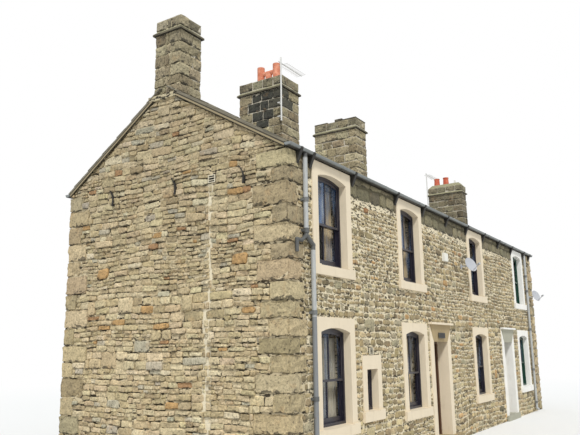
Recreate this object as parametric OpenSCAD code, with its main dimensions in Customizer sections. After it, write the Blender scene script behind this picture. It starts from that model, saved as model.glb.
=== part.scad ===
// A row of two old stone houses under one roof.
// X runs along the front, Y from the front face into the house, Z up.
// The origin is the centre of the plan on the underside of the ground floor.
// Sizes and places below are counted from the near front corner, on the ground.

/* [Row] */
// Length of the row along its front
row_l = 15320; // [15200:10:16400]
// Depth of the row from front face to rear face
row_d = 4940; // [4840:10:5400]
// Thickness of the outer walls
wall_t = 500; // [460:10:560]
// Bedding gap under parts that only rest on others
seat = 0.3; // [0.2:0.1:0.5]

/* [Floors] */
// Thickness of the ground floor, one step above the ground
ground_floor_t = 150; // [120:5:180]
// Height of the upper floor above the ground
upper_floor_z = 2760; // [2740:5:2900]
// Thickness of the upper floor, from ceiling to boards
upper_floor_t = 200; // [160:5:210]

/* [Roof] */
// Height of the roof's underside at the front face
eaves_z = 5073; // [5073:1:5300]
// Distance of the ridge from the front face
ridge_y = 2560; // [2500:10:2600]
// Pitch of the front slope in degrees
front_pitch = 30.7; // [29:0.1:32]
// Pitch of the rear slope in degrees
rear_pitch = 34.4; // [33:0.1:35]
// Thickness of slates, battens and boards, measured upright
roof_t = 105; // [90:5:120]
// Overhang of the roof past each gable
verge = 60; // [40:5:90]
// Reach of the lowest slates past the wall face
slate_reach = 50; // [40:5:60]
// Thickness of the lowest slates
slate_t = 25; // [18:1:30]
// Length of each wing of the ridge tiles
ridge_wing = 180; // [150:5:220]
// Thickness of the ridge tiles
ridge_tile_t = 22; // [16:1:30]

/* [Windows] */
// Clear width between the jamb stones
window_w = 960; // [900:10:1000]
// Height from sill to springing of the lintel
window_h = 1460; // [1400:10:1480]
// Rise of the lintel's cambered soffit
window_rise = 70; // [50:5:90]
// Width of each jamb stone
jamb_w = 175; // [160:5:190]
// Height of the lintel over the springing
lintel_h = 235; // [225:1:235]
// Height of the sill stone
sill_h = 170; // [140:5:190]
// Reach of the sill past the surround at each end
sill_ear = 30; // [20:5:40]
// Reach of the sill in front of the surround
sill_nose = 35; // [25:5:50]
// Fall of the sill's weathered top
sill_fall = 14; // [8:1:20]
// Reach of the stone surrounds in front of the wall
surround_proud = 20; // [10:1:30]
// Depth of the surround stones in the wall
surround_d = 230; // [220:5:240]
// Extra width of the wall's opening behind the surround, each side
reveal_check = 30; // [20:5:40]
// Middle of window bay 1 along the front
bay_1_x = 1380; // [1370:5:1400]
// Middle of window bay 2 along the front
bay_2_x = 4710; // [4680:5:4720]
// Middle of window bay 3, from the far end
bay_3_in = 6180; // [6020:5:6320]
// Middle of window bay 4, from the far end
bay_4_in = 1780; // [1740:5:1820]
// Top of the ground floor sills
ground_sill_z = 840; // [820:5:860]
// Top of the upper sills
upper_sill_z = 3368; // [3340:1:3368]

/* [Sashes] */
// Distance of the box frame behind the wall face
frame_y = 110; // [90:5:120]
// Depth of the box frame
frame_d = 110; // [105:1:110]
// Width of the box frame's sides and head
frame_w = 42; // [35:1:50]
// Height of the timber sill
frame_sill_h = 45; // [35:1:55]
// Thickness of each sash
sash_t = 42; // [36:1:44]
// Width of a sash's stiles and top rail
stile_w = 48; // [40:1:55]
// Height of the lower sash's bottom rail
bottom_rail_h = 75; // [60:1:90]
// Height of the meeting rails
meeting_rail_h = 36; // [30:1:45]
// Height of the meeting rails over the stone sill
meeting_z = 700; // [680:5:730]
// Thickness of the glass
glass_t = 5; // [4:1:6]

/* [Pantry window] */
// Middle of the pantry window along the front
pantry_x = 2660; // [2640:5:2700]
// Clear width of the pantry window
pantry_w = 420; // [400:5:440]
// Clear height of the pantry window
pantry_h = 700; // [650:10:720]
// Height of the pantry window's lintel over its opening
pantry_lintel_h = 240; // [220:5:250]
// Width of its jamb stones
pantry_jamb_w = 160; // [150:5:170]
// Top of its sill
pantry_sill_z = 980; // [960:5:1000]

/* [Doorways] */
// Middle of door 1 along the front
door_1_x = 6150; // [6140:5:6200]
// Middle of door 2, from the far end
door_2_in = 3600; // [3520:5:3640]
// Clear width between the jamb stones
door_w = 860; // [820:10:880]
// Height of the head block's underside
door_head_z = 2165; // [2140:5:2180]
// Height of the tapered head block
head_block_h = 368; // [350:1:380]
// Width of each door jamb stone
door_jamb_w = 200; // [180:5:205]
// Thickness of the hood slab over the head block
hood_t = 45; // [35:5:60]
// Reach of the hood slab in front of the wall
hood_reach = 80; // [60:5:120]
// Reach of the hood slab past the head block at each end
hood_ear = 40; // [20:5:60]
// Lean of the head block's face at its top
block_lean = 25; // [10:1:35]
// Width of the number plate on the head block
plate_w = 260; // [200:5:280]
// Height of the number plate
plate_h = 105; // [90:5:120]
// Thickness of the number plate
plate_t = 8; // [5:1:10]
// Reach of the step in front of the wall
step_reach = 60; // [40:5:100]
// Width of the door frame's posts and head
post_w = 60; // [50:1:70]
// Depth of the stop that the leaf shuts against
stop_d = 32; // [28:1:34]
// Reach of the stop over the leaf's edge
stop_reach = 20; // [16:1:24]

/* [Door leaves] */
// Thickness of a leaf
leaf_t = 44; // [40:1:46]
// Gap around a leaf
leaf_gap = 8; // [6:0.5:9]
// Gap between a leaf and its stop
stop_gap = 7; // [6:0.5:8]
// Gap under a leaf
leaf_foot_gap = 10; // [8:0.5:12]
// Height of a hinge's middle knuckle
knuckle_h = 60; // [50:1:70]
// Radius of the hinge knuckles
knuckle_r = 10; // [9:0.5:11]
// Radius of the hinge pins
pin_r = 5; // [4:0.5:6]
// Clearance around a hinge pin and between knuckles
pin_clear = 0.5; // [0.4:0.1:0.6]
// Width of a hinge flap
flap_w = 55; // [40:1:60]
// Thickness of a hinge flap
flap_t = 4; // [3:0.5:5]
// Height of the lowest hinge over the step
low_hinge_z = 250; // [200:10:300]
// Distance of the highest hinge under the leaf's top
high_hinge_drop = 200; // [150:10:250]
// Radius of the door knob
knob_r = 27; // [22:1:30]
// Height of the door knob over the step
knob_z = 1000; // [950:10:1050]
// Distance of the knob from the leaf's free edge
knob_in = 60; // [55:1:80]

/* [Stacks] */
// Near face of stack 1, along the front
stack_1_x = 10; // [0:5:40]
// Width of stack 1 along the front
stack_1_w = 540; // [500:10:580]
// Front face of stack 1
stack_1_y = 2236; // [2200:2:2260]
// Depth of stack 1
stack_1_d = 588; // [560:2:640]
// Top of stack 1 under its drip slab
stack_1_z = 7710; // [7600:10:7800]
// Near face of stack 2
stack_2_x = 2880; // [2800:10:2950]
// Width of stack 2
stack_2_w = 650; // [600:10:700]
// Front face of stack 2
stack_2_y = 1975; // [1930:5:2020]
// Depth of stack 2
stack_2_d = 1110; // [1060:10:1160]
// Top of stack 2 under its drip slab
stack_2_z = 7530; // [7400:10:7650]
// Near face of stack 3
stack_3_x = 6220; // [6100:10:6300]
// Width of stack 3
stack_3_w = 540; // [500:10:600]
// Front face of stack 3
stack_3_y = 1930; // [1900:5:1960]
// Depth of stack 3
stack_3_d = 1200; // [1150:10:1250]
// Top of stack 3 under its drip slab
stack_3_z = 7560; // [7450:10:7650]
// Width of stack 4
stack_4_w = 480; // [460:10:520]
// Distance of stack 4's far face from the far gable
stack_4_in = 430; // [420:5:440]
// Front face of stack 4
stack_4_y = 1920; // [1900:5:1960]
// Depth of stack 4
stack_4_d = 1220; // [1150:10:1250]
// Top of stack 4 under its drip slab
stack_4_z = 7500; // [7400:10:7600]
// Reach of the drip slabs past the stacks
drip_reach = 52; // [40:2:70]
// Thickness of the drip slabs at the stack
drip_t = 85; // [70:5:100]
// Thickness of the drip slabs at their nose
drip_nose_t = 35; // [25:5:45]
// Height of the cap courses
cap_h = 200; // [160:5:230]
// Height of the ledge at the foot of stack 1 over the ground
ledge_z = 6430; // [6420:5:6450]
// Height of the ledge
ledge_h = 90; // [70:5:110]
// Reach of the ledge past the gable
ledge_reach = 55; // [40:5:60]
// Reach of the ledge past the rear face of stack 1
ledge_past = 100; // [80:5:120]
// Thickness of the capping slates on stack 3
capping_t = 25; // [18:1:30]
// Reach of the capping slates past the cap course
capping_reach = 10; // [5:1:20]
// Depth of the front capping slate
capping_front_d = 340; // [300:10:380]
// Depth of the rear capping slate
capping_rear_d = 380; // [340:10:420]
// Thickness of the cover slab over the flue of stack 3
cover_t = 60; // [45:5:75]
// Depth of the cover slab
cover_d = 210; // [180:10:240]
// Width of the cover slab
cover_w = 300; // [260:10:340]
// Gap between the front capping slate and the cover slab
cover_gap = 50; // [30:5:70]
// Height of the mortar bed round the pots of stack 4
bed_h = 125; // [100:5:150]
// Inset of the bed's top from the cap's faces
bed_inset = 110; // [90:5:130]

/* [Pots] */
// Outer radius of the two-tube pot's tubes
h_tube_r = 84; // [78:1:90]
// Distance between its tubes
h_tube_gap = 420; // [400:5:440]
// Length of its tubes
h_tube_l = 390; // [360:5:420]
// Height of its tubes' feet over the cap
h_tube_foot = 60; // [50:5:70]
// Height of its cross tube over the cap
h_cross_z = 285; // [270:5:300]
// Radius of its cross tube
h_cross_r = 52; // [46:1:58]
// Radius of its stem
h_stem_r = 76; // [70:1:82]
// Wall of the clay pots
pot_wall = 16; // [14:1:20]
// Height of the plain pots over the cap course
pot_h = 390; // [370:5:420]
// Radius of a plain pot's foot
pot_foot_r = 114; // [108:1:120]
// Radius of a plain pot's neck
pot_neck_r = 92; // [88:1:96]
// Radius of a plain pot's lip
pot_lip_r = 102; // [99:1:106]
// Height of a plain pot's lip
pot_lip_h = 40; // [30:5:50]
// Distance between the plain pots
pot_gap = 340; // [320:5:360]
// Shift of the pots from the middle of stack 4 to the rear
pot_shift = 180; // [160:5:200]
// Radius of the small vent pipe on stack 4
vent_pipe_r = 36; // [32:1:40]
// Height of the vent pipe over the cap course
vent_pipe_h = 240; // [200:5:260]
// Distance of the vent pipe from the front face of stack 4
vent_pipe_in = 285; // [260:5:300]

/* [Rainwater] */
// Outer radius of the half-round gutters
gutter_r = 58; // [54:1:60]
// Thickness of a gutter
gutter_t = 4; // [3:0.5:5]
// Height of the front gutter's rim over the roof's underside
gutter_rise = 57; // [50:1:60]
// Reach of the gutters past the verge
gutter_over = 12; // [10:1:20]
// Distance of a gutter bracket's middle from the side of its window's surround
bracket_off = 75; // [70:5:95]
// Distance of the outermost brackets from the ends of the row
bracket_in = 270; // [240:5:300]
// Width of a gutter bracket
bracket_w = 60; // [40:5:70]
// Height of a gutter bracket under the gutter's rim
bracket_h = 250; // [220:5:280]
// Thickness of a gutter bracket round the gutter
bracket_t = 10; // [6:1:14]
// Thickness of a gutter bracket at its foot
bracket_foot_t = 28; // [20:1:40]
// Diameter of the downpipes
pipe_d = 76; // [70:1:80]
// Diameter of the pipe collars
collar_d = 96; // [90:1:102]
// Height of the pipe collars
collar_h = 70; // [60:5:80]
// Half width of a collar's ears
collar_ear = 60; // [54:1:62]
// Height of a collar's ears
ear_h = 40; // [30:5:50]
// Distance of the pipes' centre from the wall
pipe_y = 62; // [58:1:66]
// Outlet of the near downpipe along the front
near_pipe_x = 438; // [430:2:444]
// Sideways swan neck of the near downpipe
near_pipe_shift = 193; // [180:1:194]
// Top of its swan neck
swan_z = 3760; // [3700:10:3820]
// Drop of its swan neck
swan_drop = 130; // [110:5:150]
// Height of the collar on the upper run of each downpipe
high_collar_z = 4285; // [4200:5:4350]
// Height of the collar over the ground floor lintels
low_collar_z = 2550; // [2545:5:2580]
// Outlet of the far downpipe, from the far corner
far_pipe_in = 935; // [900:5:950]
// Diameter of the old branch stub
stub_d = 60; // [54:2:64]
// Reach of the stub to the near side of the pipe
stub_reach = 275; // [260:5:290]
// Drop of the stub's open end under the swan neck's top
stub_drop = 285; // [260:5:310]

/* [Fittings] */
// Radius of the aerial masts
mast_r = 18; // [15:1:21]
// Distance of a mast's middle from the side face of its stack
mast_out = 103; // [100:1:110]
// Top of the mast on stack 2
mast_2_z = 8150; // [8120:10:8300]
// Top of the mast on stack 4
mast_4_z = 8370; // [8300:10:8500]
// Length of a mast beside its stack's body
mast_hold = 800; // [700:10:900]
// Thickness of a mast's brackets
mast_bracket_t = 24; // [20:1:30]
// Length of an aerial's boom
boom_l = 920; // [860:10:950]
// Distance of the boom of stack 2 under its mast's top
boom_2_drop = 126; // [100:2:150]
// Distance of the boom of stack 4 under its mast's top
boom_4_drop = 40; // [30:2:60]
// Diameter of a boom
boom_d = 18; // [14:1:20]
// Length of an aerial's rods
rod_l = 240; // [200:10:280]
// Diameter of an aerial's rods
rod_d = 8; // [6:1:10]
// Radius of the dishes
dish_r = 190; // [180:5:200]
// Depth of a dish's bowl
dish_depth = 35; // [30:1:40]
// Thickness of a dish's sheet
dish_t = 4; // [3:0.5:5]
// Distance of a dish's middle from the wall
dish_y = 200; // [190:5:215]
// Angle between a dish's axis and the upright
dish_tilt = 69; // [60:1:80]
// Turn of a dish's axis in plan
dish_turn = 246; // [235:1:260]
// Diameter of the clamp behind a dish
dish_clamp_d = 50; // [40:2:60]
// Length of that clamp
dish_clamp_l = 40; // [30:2:50]
// Diameter of a dish's feed
feed_d = 52; // [44:2:60]
// Length of a dish's feed
feed_l = 80; // [60:5:100]
// Diameter of the arm that carries the feed
feed_arm_d = 16; // [12:1:20]
// Diameter of the arm between a dish's clamp and its plate
wall_arm_d = 30; // [24:1:36]
// Width of the plate that holds a dish's arm
foot_w = 100; // [90:5:120]
// Thickness of that plate
foot_t = 10; // [8:1:14]
// Near dish, from the middle of window bay 3 back to the near side
dish_1_off = 1100; // [1050:10:1130]
// Height of the near dish
dish_1_z = 4050; // [4000:10:4100]
// Far dish, from the far end
dish_2_in = 400; // [380:10:440]
// Height of the far dish
dish_2_z = 3690; // [3650:10:3750]
// Near edge of the wall box along the front
box_x = 6600; // [6560:5:6640]
// Underside of the wall box
box_z = 4020; // [4000:5:4060]
// Width of the wall box
box_w = 240; // [220:5:250]
// Height of the wall box
box_h = 190; // [170:5:200]
// Depth of the wall box
box_d = 65; // [50:5:75]
// Middle of the gable vent, from the front face
gable_vent_y = 1453; // [1400:1:1500]
// Underside of the gable vent
gable_vent_z = 4730; // [4700:5:4760]
// Width of the gable vent
gable_vent_w = 147; // [130:1:160]
// Height of the gable vent
gable_vent_h = 130; // [110:5:150]
// Distance of the air brick's middle from the pantry window's, to the near side
air_brick_off = 25; // [0:5:50]
// Height of the air brick over the pantry window's lintel
air_brick_up = 15; // [10:5:30]
// Width of the air brick
air_brick_w = 150; // [130:5:170]
// Height of the air brick
air_brick_h = 115; // [100:5:130]
// Depth of the vents in the wall
vent_d = 60; // [50:5:70]
// Depth of their slots
slot_d = 35; // [25:5:40]
// Rim beside their slots
slot_rim = 12; // [8:1:16]

/* [Hidden] */

// Small overlap that makes cuts pass through and joins pieces of one casting
eps = 1;
round_fn = 32;
arch_fn = 96;

// Roof planes: heights of the underside at a distance y from the front face
front_fall = tan(front_pitch);
rear_fall = tan(rear_pitch);
ridge_z = eaves_z + ridge_y * front_fall;
rear_eaves_z = ridge_z - (row_d - ridge_y) * rear_fall;
function under_z(y) = y < ridge_y ? eaves_z + y * front_fall : ridge_z - (y - ridge_y) * rear_fall;

// Windows
bay_3_x = row_l - bay_3_in;
bay_4_x = row_l - bay_4_in;
bays = [bay_1_x, bay_2_x, bay_3_x, bay_4_x];
surround_w = window_w + 2 * jamb_w;
pantry_surround_w = pantry_w + 2 * pantry_jamb_w;
rear_sill_z = upper_sill_z - (eaves_z - rear_eaves_z) - 5;
arch_r = (window_w * window_w / 4 + window_rise * window_rise) / (2 * window_rise);
arch_z = window_h + window_rise - arch_r;
sash_w = window_w - 2 * frame_w;
sash_front_y = frame_y + 12;

// Doorways
door_2_x = row_l - door_2_in;
door_xs = [door_1_x, door_2_x];
door_gap_w = door_w + 2 * reveal_check;
post_in = door_w / 2 + reveal_check - post_w;
head_top_z = door_head_z + head_block_h;
frame_head_z = door_head_z + reveal_check;
leaf_w = 2 * post_in - 2 * leaf_gap;
leaf_z0 = ground_floor_t + leaf_foot_gap;
leaf_z1 = frame_head_z - post_w - leaf_gap;
post_y = surround_d;
leaf_y0 = post_y + stop_d + stop_gap;
leaf_y1 = leaf_y0 + leaf_t;
pin_dx = post_in - leaf_gap / 2;
pin_y = leaf_y1 + knuckle_r;
hinge_zs = [ground_floor_t + low_hinge_z, leaf_z1 - high_hinge_drop];

// Stacks: x, width, y, depth and top of each body
stack_4_x = row_l - stack_4_in - stack_4_w;
stacks = [
    [stack_1_x, stack_1_w, stack_1_y, stack_1_d, stack_1_z],
    [stack_2_x, stack_2_w, stack_2_y, stack_2_d, stack_2_z],
    [stack_3_x, stack_3_w, stack_3_y, stack_3_d, stack_3_z],
    [stack_4_x, stack_4_w, stack_4_y, stack_4_d, stack_4_z]
];
stack_foot_z = eaves_z;
sky_z = 9000;

// Rainwater
gutter_z = eaves_z + gutter_rise;
rear_gutter_z = rear_eaves_z + gutter_rise;
gutter_y = -gutter_r - 5;
far_pipe_x = row_l - far_pipe_in;
bend_grow = 1.08;
shoe_z = 120;
shoe_reach = 60;
bracket_out = window_w / 2 + jamb_w + bracket_off;
bracket_xs = concat(
    [bracket_in, (bay_2_x + bay_3_x) / 2, (bay_3_x + bay_4_x) / 2, row_l - bracket_in],
    [for (x = bays) x - bracket_out], [for (x = bays) x + bracket_out]
);

// Puts the near front corner where the origin's half length and half depth want it
module placed() {
    translate([-row_l / 2, -row_d / 2, 0]) children();
}

// Turns what is drawn for the front round to the rear face
module at_rear() {
    translate([0, row_d, 0]) mirror([0, 1, 0]) children();
}

// Raises a profile drawn in Y and Z from x0 to x1
module along_x(x0, x1) {
    translate([x0, 0, 0]) rotate([90, 0, 90]) linear_extrude(x1 - x0) children();
}

// Lays an elevation drawn in X and Z from y0 to y1
module along_y(y0, y1) {
    translate([0, y1, 0]) rotate([90, 0, 0]) linear_extrude(y1 - y0) children();
}

// Box from one corner to the other
module block(low, high) {
    translate(low) cube(high - low);
}

// Plan of a stack raised between two heights, grown by reach
module stack_prism(s, z0, z1, reach = 0) {
    block([s[0] - reach, s[2] - reach, z0], [s[0] + s[1] + reach, s[2] + s[3] + reach, z1]);
}

// Floors

module ground_floor() {
    color("dimgray") placed()
        block([wall_t, wall_t, 0], [row_l - wall_t, row_d - wall_t, ground_floor_t]);
}

module upper_floor() {
    color("burlywood") placed() difference() {
        block([wall_t, wall_t, upper_floor_z - upper_floor_t],
            [row_l - wall_t, row_d - wall_t, upper_floor_z]);
        for (s = stacks) {
            if (s != stacks[0]) stack_prism(s, 0, sky_z);
        }
    }
}

// Walls

module gable_profile() {
    polygon([[0, 0], [0, eaves_z], [ridge_y, ridge_z], [row_d, rear_eaves_z], [row_d, 0]]);
}

module near_gable_wall() {
    color("tan") placed() difference() {
        along_x(0, wall_t) gable_profile();
        block([-eps, stack_1_y, ledge_z], [wall_t + eps, stack_1_y + stack_1_d, sky_z]);
        at_gable_vent() vent_hole(gable_vent_w, gable_vent_h);
    }
}

module far_gable_wall() {
    color("tan") placed() difference() {
        along_x(row_l - wall_t, row_l) gable_profile();
        stack_prism(stacks[3], stack_foot_z, sky_z);
    }
}

// Wall of the front between two distances, up to the roof
module front_run(x0, x1) {
    along_x(x0, x1) polygon([[0, 0], [0, eaves_z], [wall_t, under_z(wall_t)], [wall_t, 0]]);
}

// Seat of a window in the wall: the surround's stones, the sill and the opening behind
module window_hole(x, sill_z, clear_w, clear_h, side_w, top_h) {
    half = clear_w / 2;
    block([x - half - side_w, -eps, sill_z - sill_h],
        [x + half + side_w, surround_d, sill_z + clear_h + top_h]);
    block([x - half - side_w - sill_ear, -eps, sill_z - sill_h],
        [x + half + side_w + sill_ear, surround_d, sill_z]);
    block([x - half - reveal_check, 0, sill_z],
        [x + half + reveal_check, wall_t + eps, sill_z + clear_h + reveal_check]);
}

module bay_holes(x, low_sill, high_sill) {
    for (z = [low_sill, high_sill]) {
        window_hole(x, z, window_w, window_h, jamb_w, lintel_h);
    }
}

module pantry_hole() {
    window_hole(pantry_x, pantry_sill_z, pantry_w, pantry_h, pantry_jamb_w, pantry_lintel_h);
}

// Seat of a door's jamb stones and head block, beside its gap
module door_seat(x) {
    half = door_w / 2 + door_jamb_w;
    block([x - half, -eps, -eps], [x + half, surround_d, head_top_z]);
}

module front_wall_near() {
    color("tan") placed() difference() {
        front_run(wall_t, door_1_x - door_gap_w / 2);
        bay_holes(bay_1_x, ground_sill_z, upper_sill_z);
        bay_holes(bay_2_x, ground_sill_z, upper_sill_z);
        pantry_hole();
        at_air_brick() vent_hole(air_brick_w, air_brick_h);
        door_seat(door_1_x);
    }
}

module front_wall_middle() {
    color("tan") placed() difference() {
        front_run(door_1_x + door_gap_w / 2, door_2_x - door_gap_w / 2);
        bay_holes(bay_3_x, ground_sill_z, upper_sill_z);
        door_seat(door_1_x);
        door_seat(door_2_x);
    }
}

module front_wall_far() {
    color("tan") placed() difference() {
        front_run(door_2_x + door_gap_w / 2, row_l - wall_t);
        bay_holes(bay_4_x, ground_sill_z, upper_sill_z);
        door_seat(door_2_x);
    }
}

module wall_over_door(x) {
    along_x(x - door_gap_w / 2, x + door_gap_w / 2) polygon([
        [0, head_top_z], [0, eaves_z], [wall_t, under_z(wall_t)],
        [wall_t, frame_head_z], [surround_d, frame_head_z], [surround_d, head_top_z]
    ]);
}

module wall_over_door_1() {
    color("tan") placed() wall_over_door(door_1_x);
}

module wall_over_door_2() {
    color("tan") placed() wall_over_door(door_2_x);
}

module rear_run(x0, x1) {
    face = row_d - wall_t;
    along_x(x0, x1)
        polygon([[face, 0], [face, under_z(face)], [row_d, rear_eaves_z], [row_d, 0]]);
}

module rear_wall_near() {
    color("tan") placed() difference() {
        rear_run(wall_t, row_l / 2);
        at_rear() bay_holes(bay_1_x, ground_sill_z, rear_sill_z);
        at_rear() bay_holes(bay_2_x, ground_sill_z, rear_sill_z);
    }
}

module rear_wall_far() {
    color("tan") placed() difference() {
        rear_run(row_l / 2, row_l - wall_t);
        at_rear() bay_holes(bay_3_x, ground_sill_z, rear_sill_z);
        at_rear() bay_holes(bay_4_x, ground_sill_z, rear_sill_z);
    }
}

// Draws its children at every large window, front and rear
module at_windows() {
    for (x = bays) {
        for (z = [ground_sill_z, upper_sill_z]) translate([x, 0, z]) children();
        for (z = [ground_sill_z, rear_sill_z]) at_rear() translate([x, 0, z]) children();
    }
}

module at_pantry() {
    translate([pantry_x, 0, pantry_sill_z]) children();
}

// Opening under a cambered lintel, made narrower by side and lower by head
module cambered(side, foot, head) {
    intersection() {
        translate([-window_w / 2 + side, foot])
            square([window_w - 2 * side, window_h + window_rise]);
        translate([0, arch_z]) circle(arch_r - head, $fn = arch_fn);
    }
}

// Window surrounds

module window_lintels() {
    color("wheat") placed() {
        at_windows() along_y(-surround_proud, surround_d) difference() {
            translate([-surround_w / 2, window_h]) square([surround_w, lintel_h]);
            cambered(0, 0, 0);
        }
        at_pantry() block([-pantry_surround_w / 2, -surround_proud, pantry_h],
            [pantry_surround_w / 2, surround_d, pantry_h + pantry_lintel_h]);
    }
}

module jamb_pair(clear_w, clear_h, width) {
    for (side = [-1, 1]) {
        inner = side * clear_w / 2;
        outer = inner + side * width;
        block([min(inner, outer), -surround_proud, 0], [max(inner, outer), surround_d, clear_h]);
    }
}

module window_jambs() {
    color("wheat") placed() {
        at_windows() jamb_pair(window_w, window_h, jamb_w);
        at_pantry() jamb_pair(pantry_w, pantry_h, pantry_jamb_w);
    }
}

// Sill stone with flat seats under the jambs and a weathered top between them
module sill_stone(clear_w, full_w) {
    nose = surround_proud + sill_nose;
    difference() {
        block([-full_w / 2, -nose, -sill_h], [full_w / 2, surround_d, 0]);
        along_x(-clear_w / 2, clear_w / 2)
            polygon([[frame_y, 0], [-nose - eps, -sill_fall], [-nose - eps, eps], [frame_y, eps]]);
    }
}

module window_sills() {
    color("wheat") placed() {
        at_windows() sill_stone(window_w, surround_w + 2 * sill_ear);
        at_pantry() sill_stone(pantry_w, pantry_surround_w + 2 * sill_ear);
    }
}

// Sashes

module pantry_ring(side, foot, head) {
    translate([-pantry_w / 2 + side, foot])
        square([pantry_w - 2 * side, pantry_h - foot - head]);
}

module window_frames() {
    color("darkslateblue") placed() {
        at_windows() along_y(frame_y, frame_y + frame_d) difference() {
            cambered(0, 0, 0);
            cambered(frame_w, frame_sill_h, frame_w);
        }
        at_pantry() along_y(frame_y, frame_y + frame_d) difference() {
            pantry_ring(0, 0, 0);
            pantry_ring(frame_w, frame_sill_h, frame_w);
        }
    }
}

// Part of the frame's opening between two heights
module sash_field(side, z0, z1, head) {
    intersection() {
        cambered(frame_w + side, 0, frame_w + head);
        translate([-window_w, z0]) square([2 * window_w, z1 - z0]);
    }
}

// Height past the crown, for fields that run up to the head
over_z = window_h + 2 * window_rise;

module upper_sash_field(inset) {
    z0 = meeting_z - meeting_rail_h / 2 + (inset ? meeting_rail_h : 0);
    sash_field(inset ? stile_w : 0, z0, over_z, inset ? stile_w : 0);
}

module lower_sash_field(inset) {
    z0 = frame_sill_h + (inset ? bottom_rail_h : 0);
    z1 = meeting_z + meeting_rail_h / 2 - (inset ? meeting_rail_h : 0);
    sash_field(inset ? stile_w : 0, z0, z1, 0);
}

module window_sashes() {
    lower_y = sash_front_y + sash_t + 2;
    color("midnightblue") placed() {
        at_windows() {
            along_y(sash_front_y, sash_front_y + sash_t) difference() {
                upper_sash_field(false);
                upper_sash_field(true);
            }
            along_y(lower_y, lower_y + sash_t) difference() {
                lower_sash_field(false);
                lower_sash_field(true);
            }
        }
        at_pantry() along_y(sash_front_y, sash_front_y + sash_t) difference() {
            pantry_ring(frame_w, frame_sill_h, frame_w);
            pantry_ring(frame_w + stile_w, frame_sill_h + stile_w, frame_w + stile_w);
        }
    }
}

module window_glass() {
    upper_y = sash_front_y + (sash_t - glass_t) / 2;
    lower_y = upper_y + sash_t + 2;
    color("lightblue") placed() {
        at_windows() {
            along_y(upper_y, upper_y + glass_t) upper_sash_field(true);
            along_y(lower_y, lower_y + glass_t) lower_sash_field(true);
        }
        at_pantry() along_y(upper_y, upper_y + glass_t)
            pantry_ring(frame_w + stile_w, frame_sill_h + stile_w, frame_w + stile_w);
    }
}

// Doorways

module at_doors() {
    for (x = door_xs) translate([x, 0, 0]) children();
}

// Jamb stones, cut on the slant under the tapered head block
module door_jambs() {
    inner = door_w / 2;
    outer = inner + door_jamb_w;
    color("wheat") placed() at_doors() for (side = [0, 1]) mirror([side, 0, 0])
        along_y(-surround_proud, surround_d) polygon([
            [inner, ground_floor_t], [outer, ground_floor_t],
            [outer, head_top_z], [inner, door_head_z]
        ]);
}

// Head block: a tapered outline whose face leans out to the top, with a bare plate over door 1
module door_heads() {
    inner = door_w / 2;
    outer = inner + door_jamb_w;
    face = -surround_proud;
    plate_z = door_head_z + head_block_h * 0.36;
    color("tan") placed() at_doors() intersection() {
        along_y(face - block_lean, surround_d) polygon([
            [-inner, door_head_z], [inner, door_head_z],
            [outer, head_top_z], [-outer, head_top_z]
        ]);
        along_x(-outer, outer) polygon([
            [face, door_head_z], [face - block_lean, head_top_z],
            [surround_d, head_top_z], [surround_d, door_head_z]
        ]);
    }
    color("tan") placed() translate([door_1_x, 0, 0])
        block([-plate_w / 2, face - block_lean - plate_t, plate_z - plate_h / 2],
            [plate_w / 2, face, plate_z + plate_h / 2]);
}

module door_hoods() {
    outer = door_w / 2 + door_jamb_w + hood_ear;
    color("wheat") placed() at_doors()
        block([-outer, -hood_reach - surround_proud, head_top_z], [outer, 0, head_top_z + hood_t]);
}

// Step under the jamb stones, with a narrower threshold behind it
module door_steps() {
    outer = door_w / 2 + door_jamb_w;
    color("gray") placed() at_doors() {
        block([-outer, -step_reach, 0], [outer, surround_d, ground_floor_t]);
        block([-door_gap_w / 2, 0, 0], [door_gap_w / 2, wall_t, ground_floor_t]);
    }
}

// Rebated door frame with the fixed knuckles and pins of its hinges
module door_frame(x) {
    outer = door_gap_w / 2;
    stop_in = post_in - stop_reach;
    translate([x, 0, 0]) {
        difference() {
            block([-outer, post_y, ground_floor_t], [outer, leaf_y1, frame_head_z]);
            block([-stop_in, post_y - eps, ground_floor_t - eps],
                [stop_in, leaf_y1 + eps, frame_head_z - post_w - stop_reach]);
            block([-post_in, post_y + stop_d, ground_floor_t - eps],
                [post_in, leaf_y1 + eps, frame_head_z - post_w]);
        }
        for (z = hinge_zs) translate([pin_dx, pin_y, z]) fixed_knuckles();
    }
}

module fixed_knuckles() {
    tall = knuckle_h / 2;
    for (side = [0, 1]) mirror([0, 0, side])
        translate([0, 0, knuckle_h / 2 + pin_clear]) {
            cylinder(r = knuckle_r, h = tall, $fn = round_fn);
            block([0, -knuckle_r, 0], [flap_w, -knuckle_r + flap_t, tall]);
        }
    translate([0, 0, -knuckle_h]) cylinder(r = pin_r, h = 2 * knuckle_h, $fn = round_fn);
}

module door_frame_1() {
    color("saddlebrown") placed() door_frame(door_1_x);
}

module door_frame_2() {
    color("white") placed() door_frame(door_2_x);
}

// Door leaf of planks with the moving knuckles of its hinges and a knob each side
module front_door(x) {
    half = leaf_w / 2;
    translate([x, 0, 0]) {
        difference() {
            union() {
                block([-half, leaf_y0, leaf_z0], [half, leaf_y1, leaf_z1]);
                for (z = hinge_zs) translate([pin_dx, pin_y, z - knuckle_h / 2]) {
                    cylinder(r = knuckle_r, h = knuckle_h, $fn = round_fn);
                    block([-flap_w, -knuckle_r, 0], [0, -knuckle_r + flap_t, knuckle_h]);
                }
            }
            for (z = hinge_zs) translate([pin_dx, pin_y, z - knuckle_h])
                cylinder(r = pin_r + pin_clear, h = 2 * knuckle_h, $fn = round_fn);
        }
        translate([-half + knob_in, leaf_y1, ground_floor_t + knob_z])
            rotate([-90, 0, 0]) door_knob();
        translate([-half + knob_in, leaf_y0, ground_floor_t + knob_z])
            rotate([90, 0, 0]) door_knob();
    }
}

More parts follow.
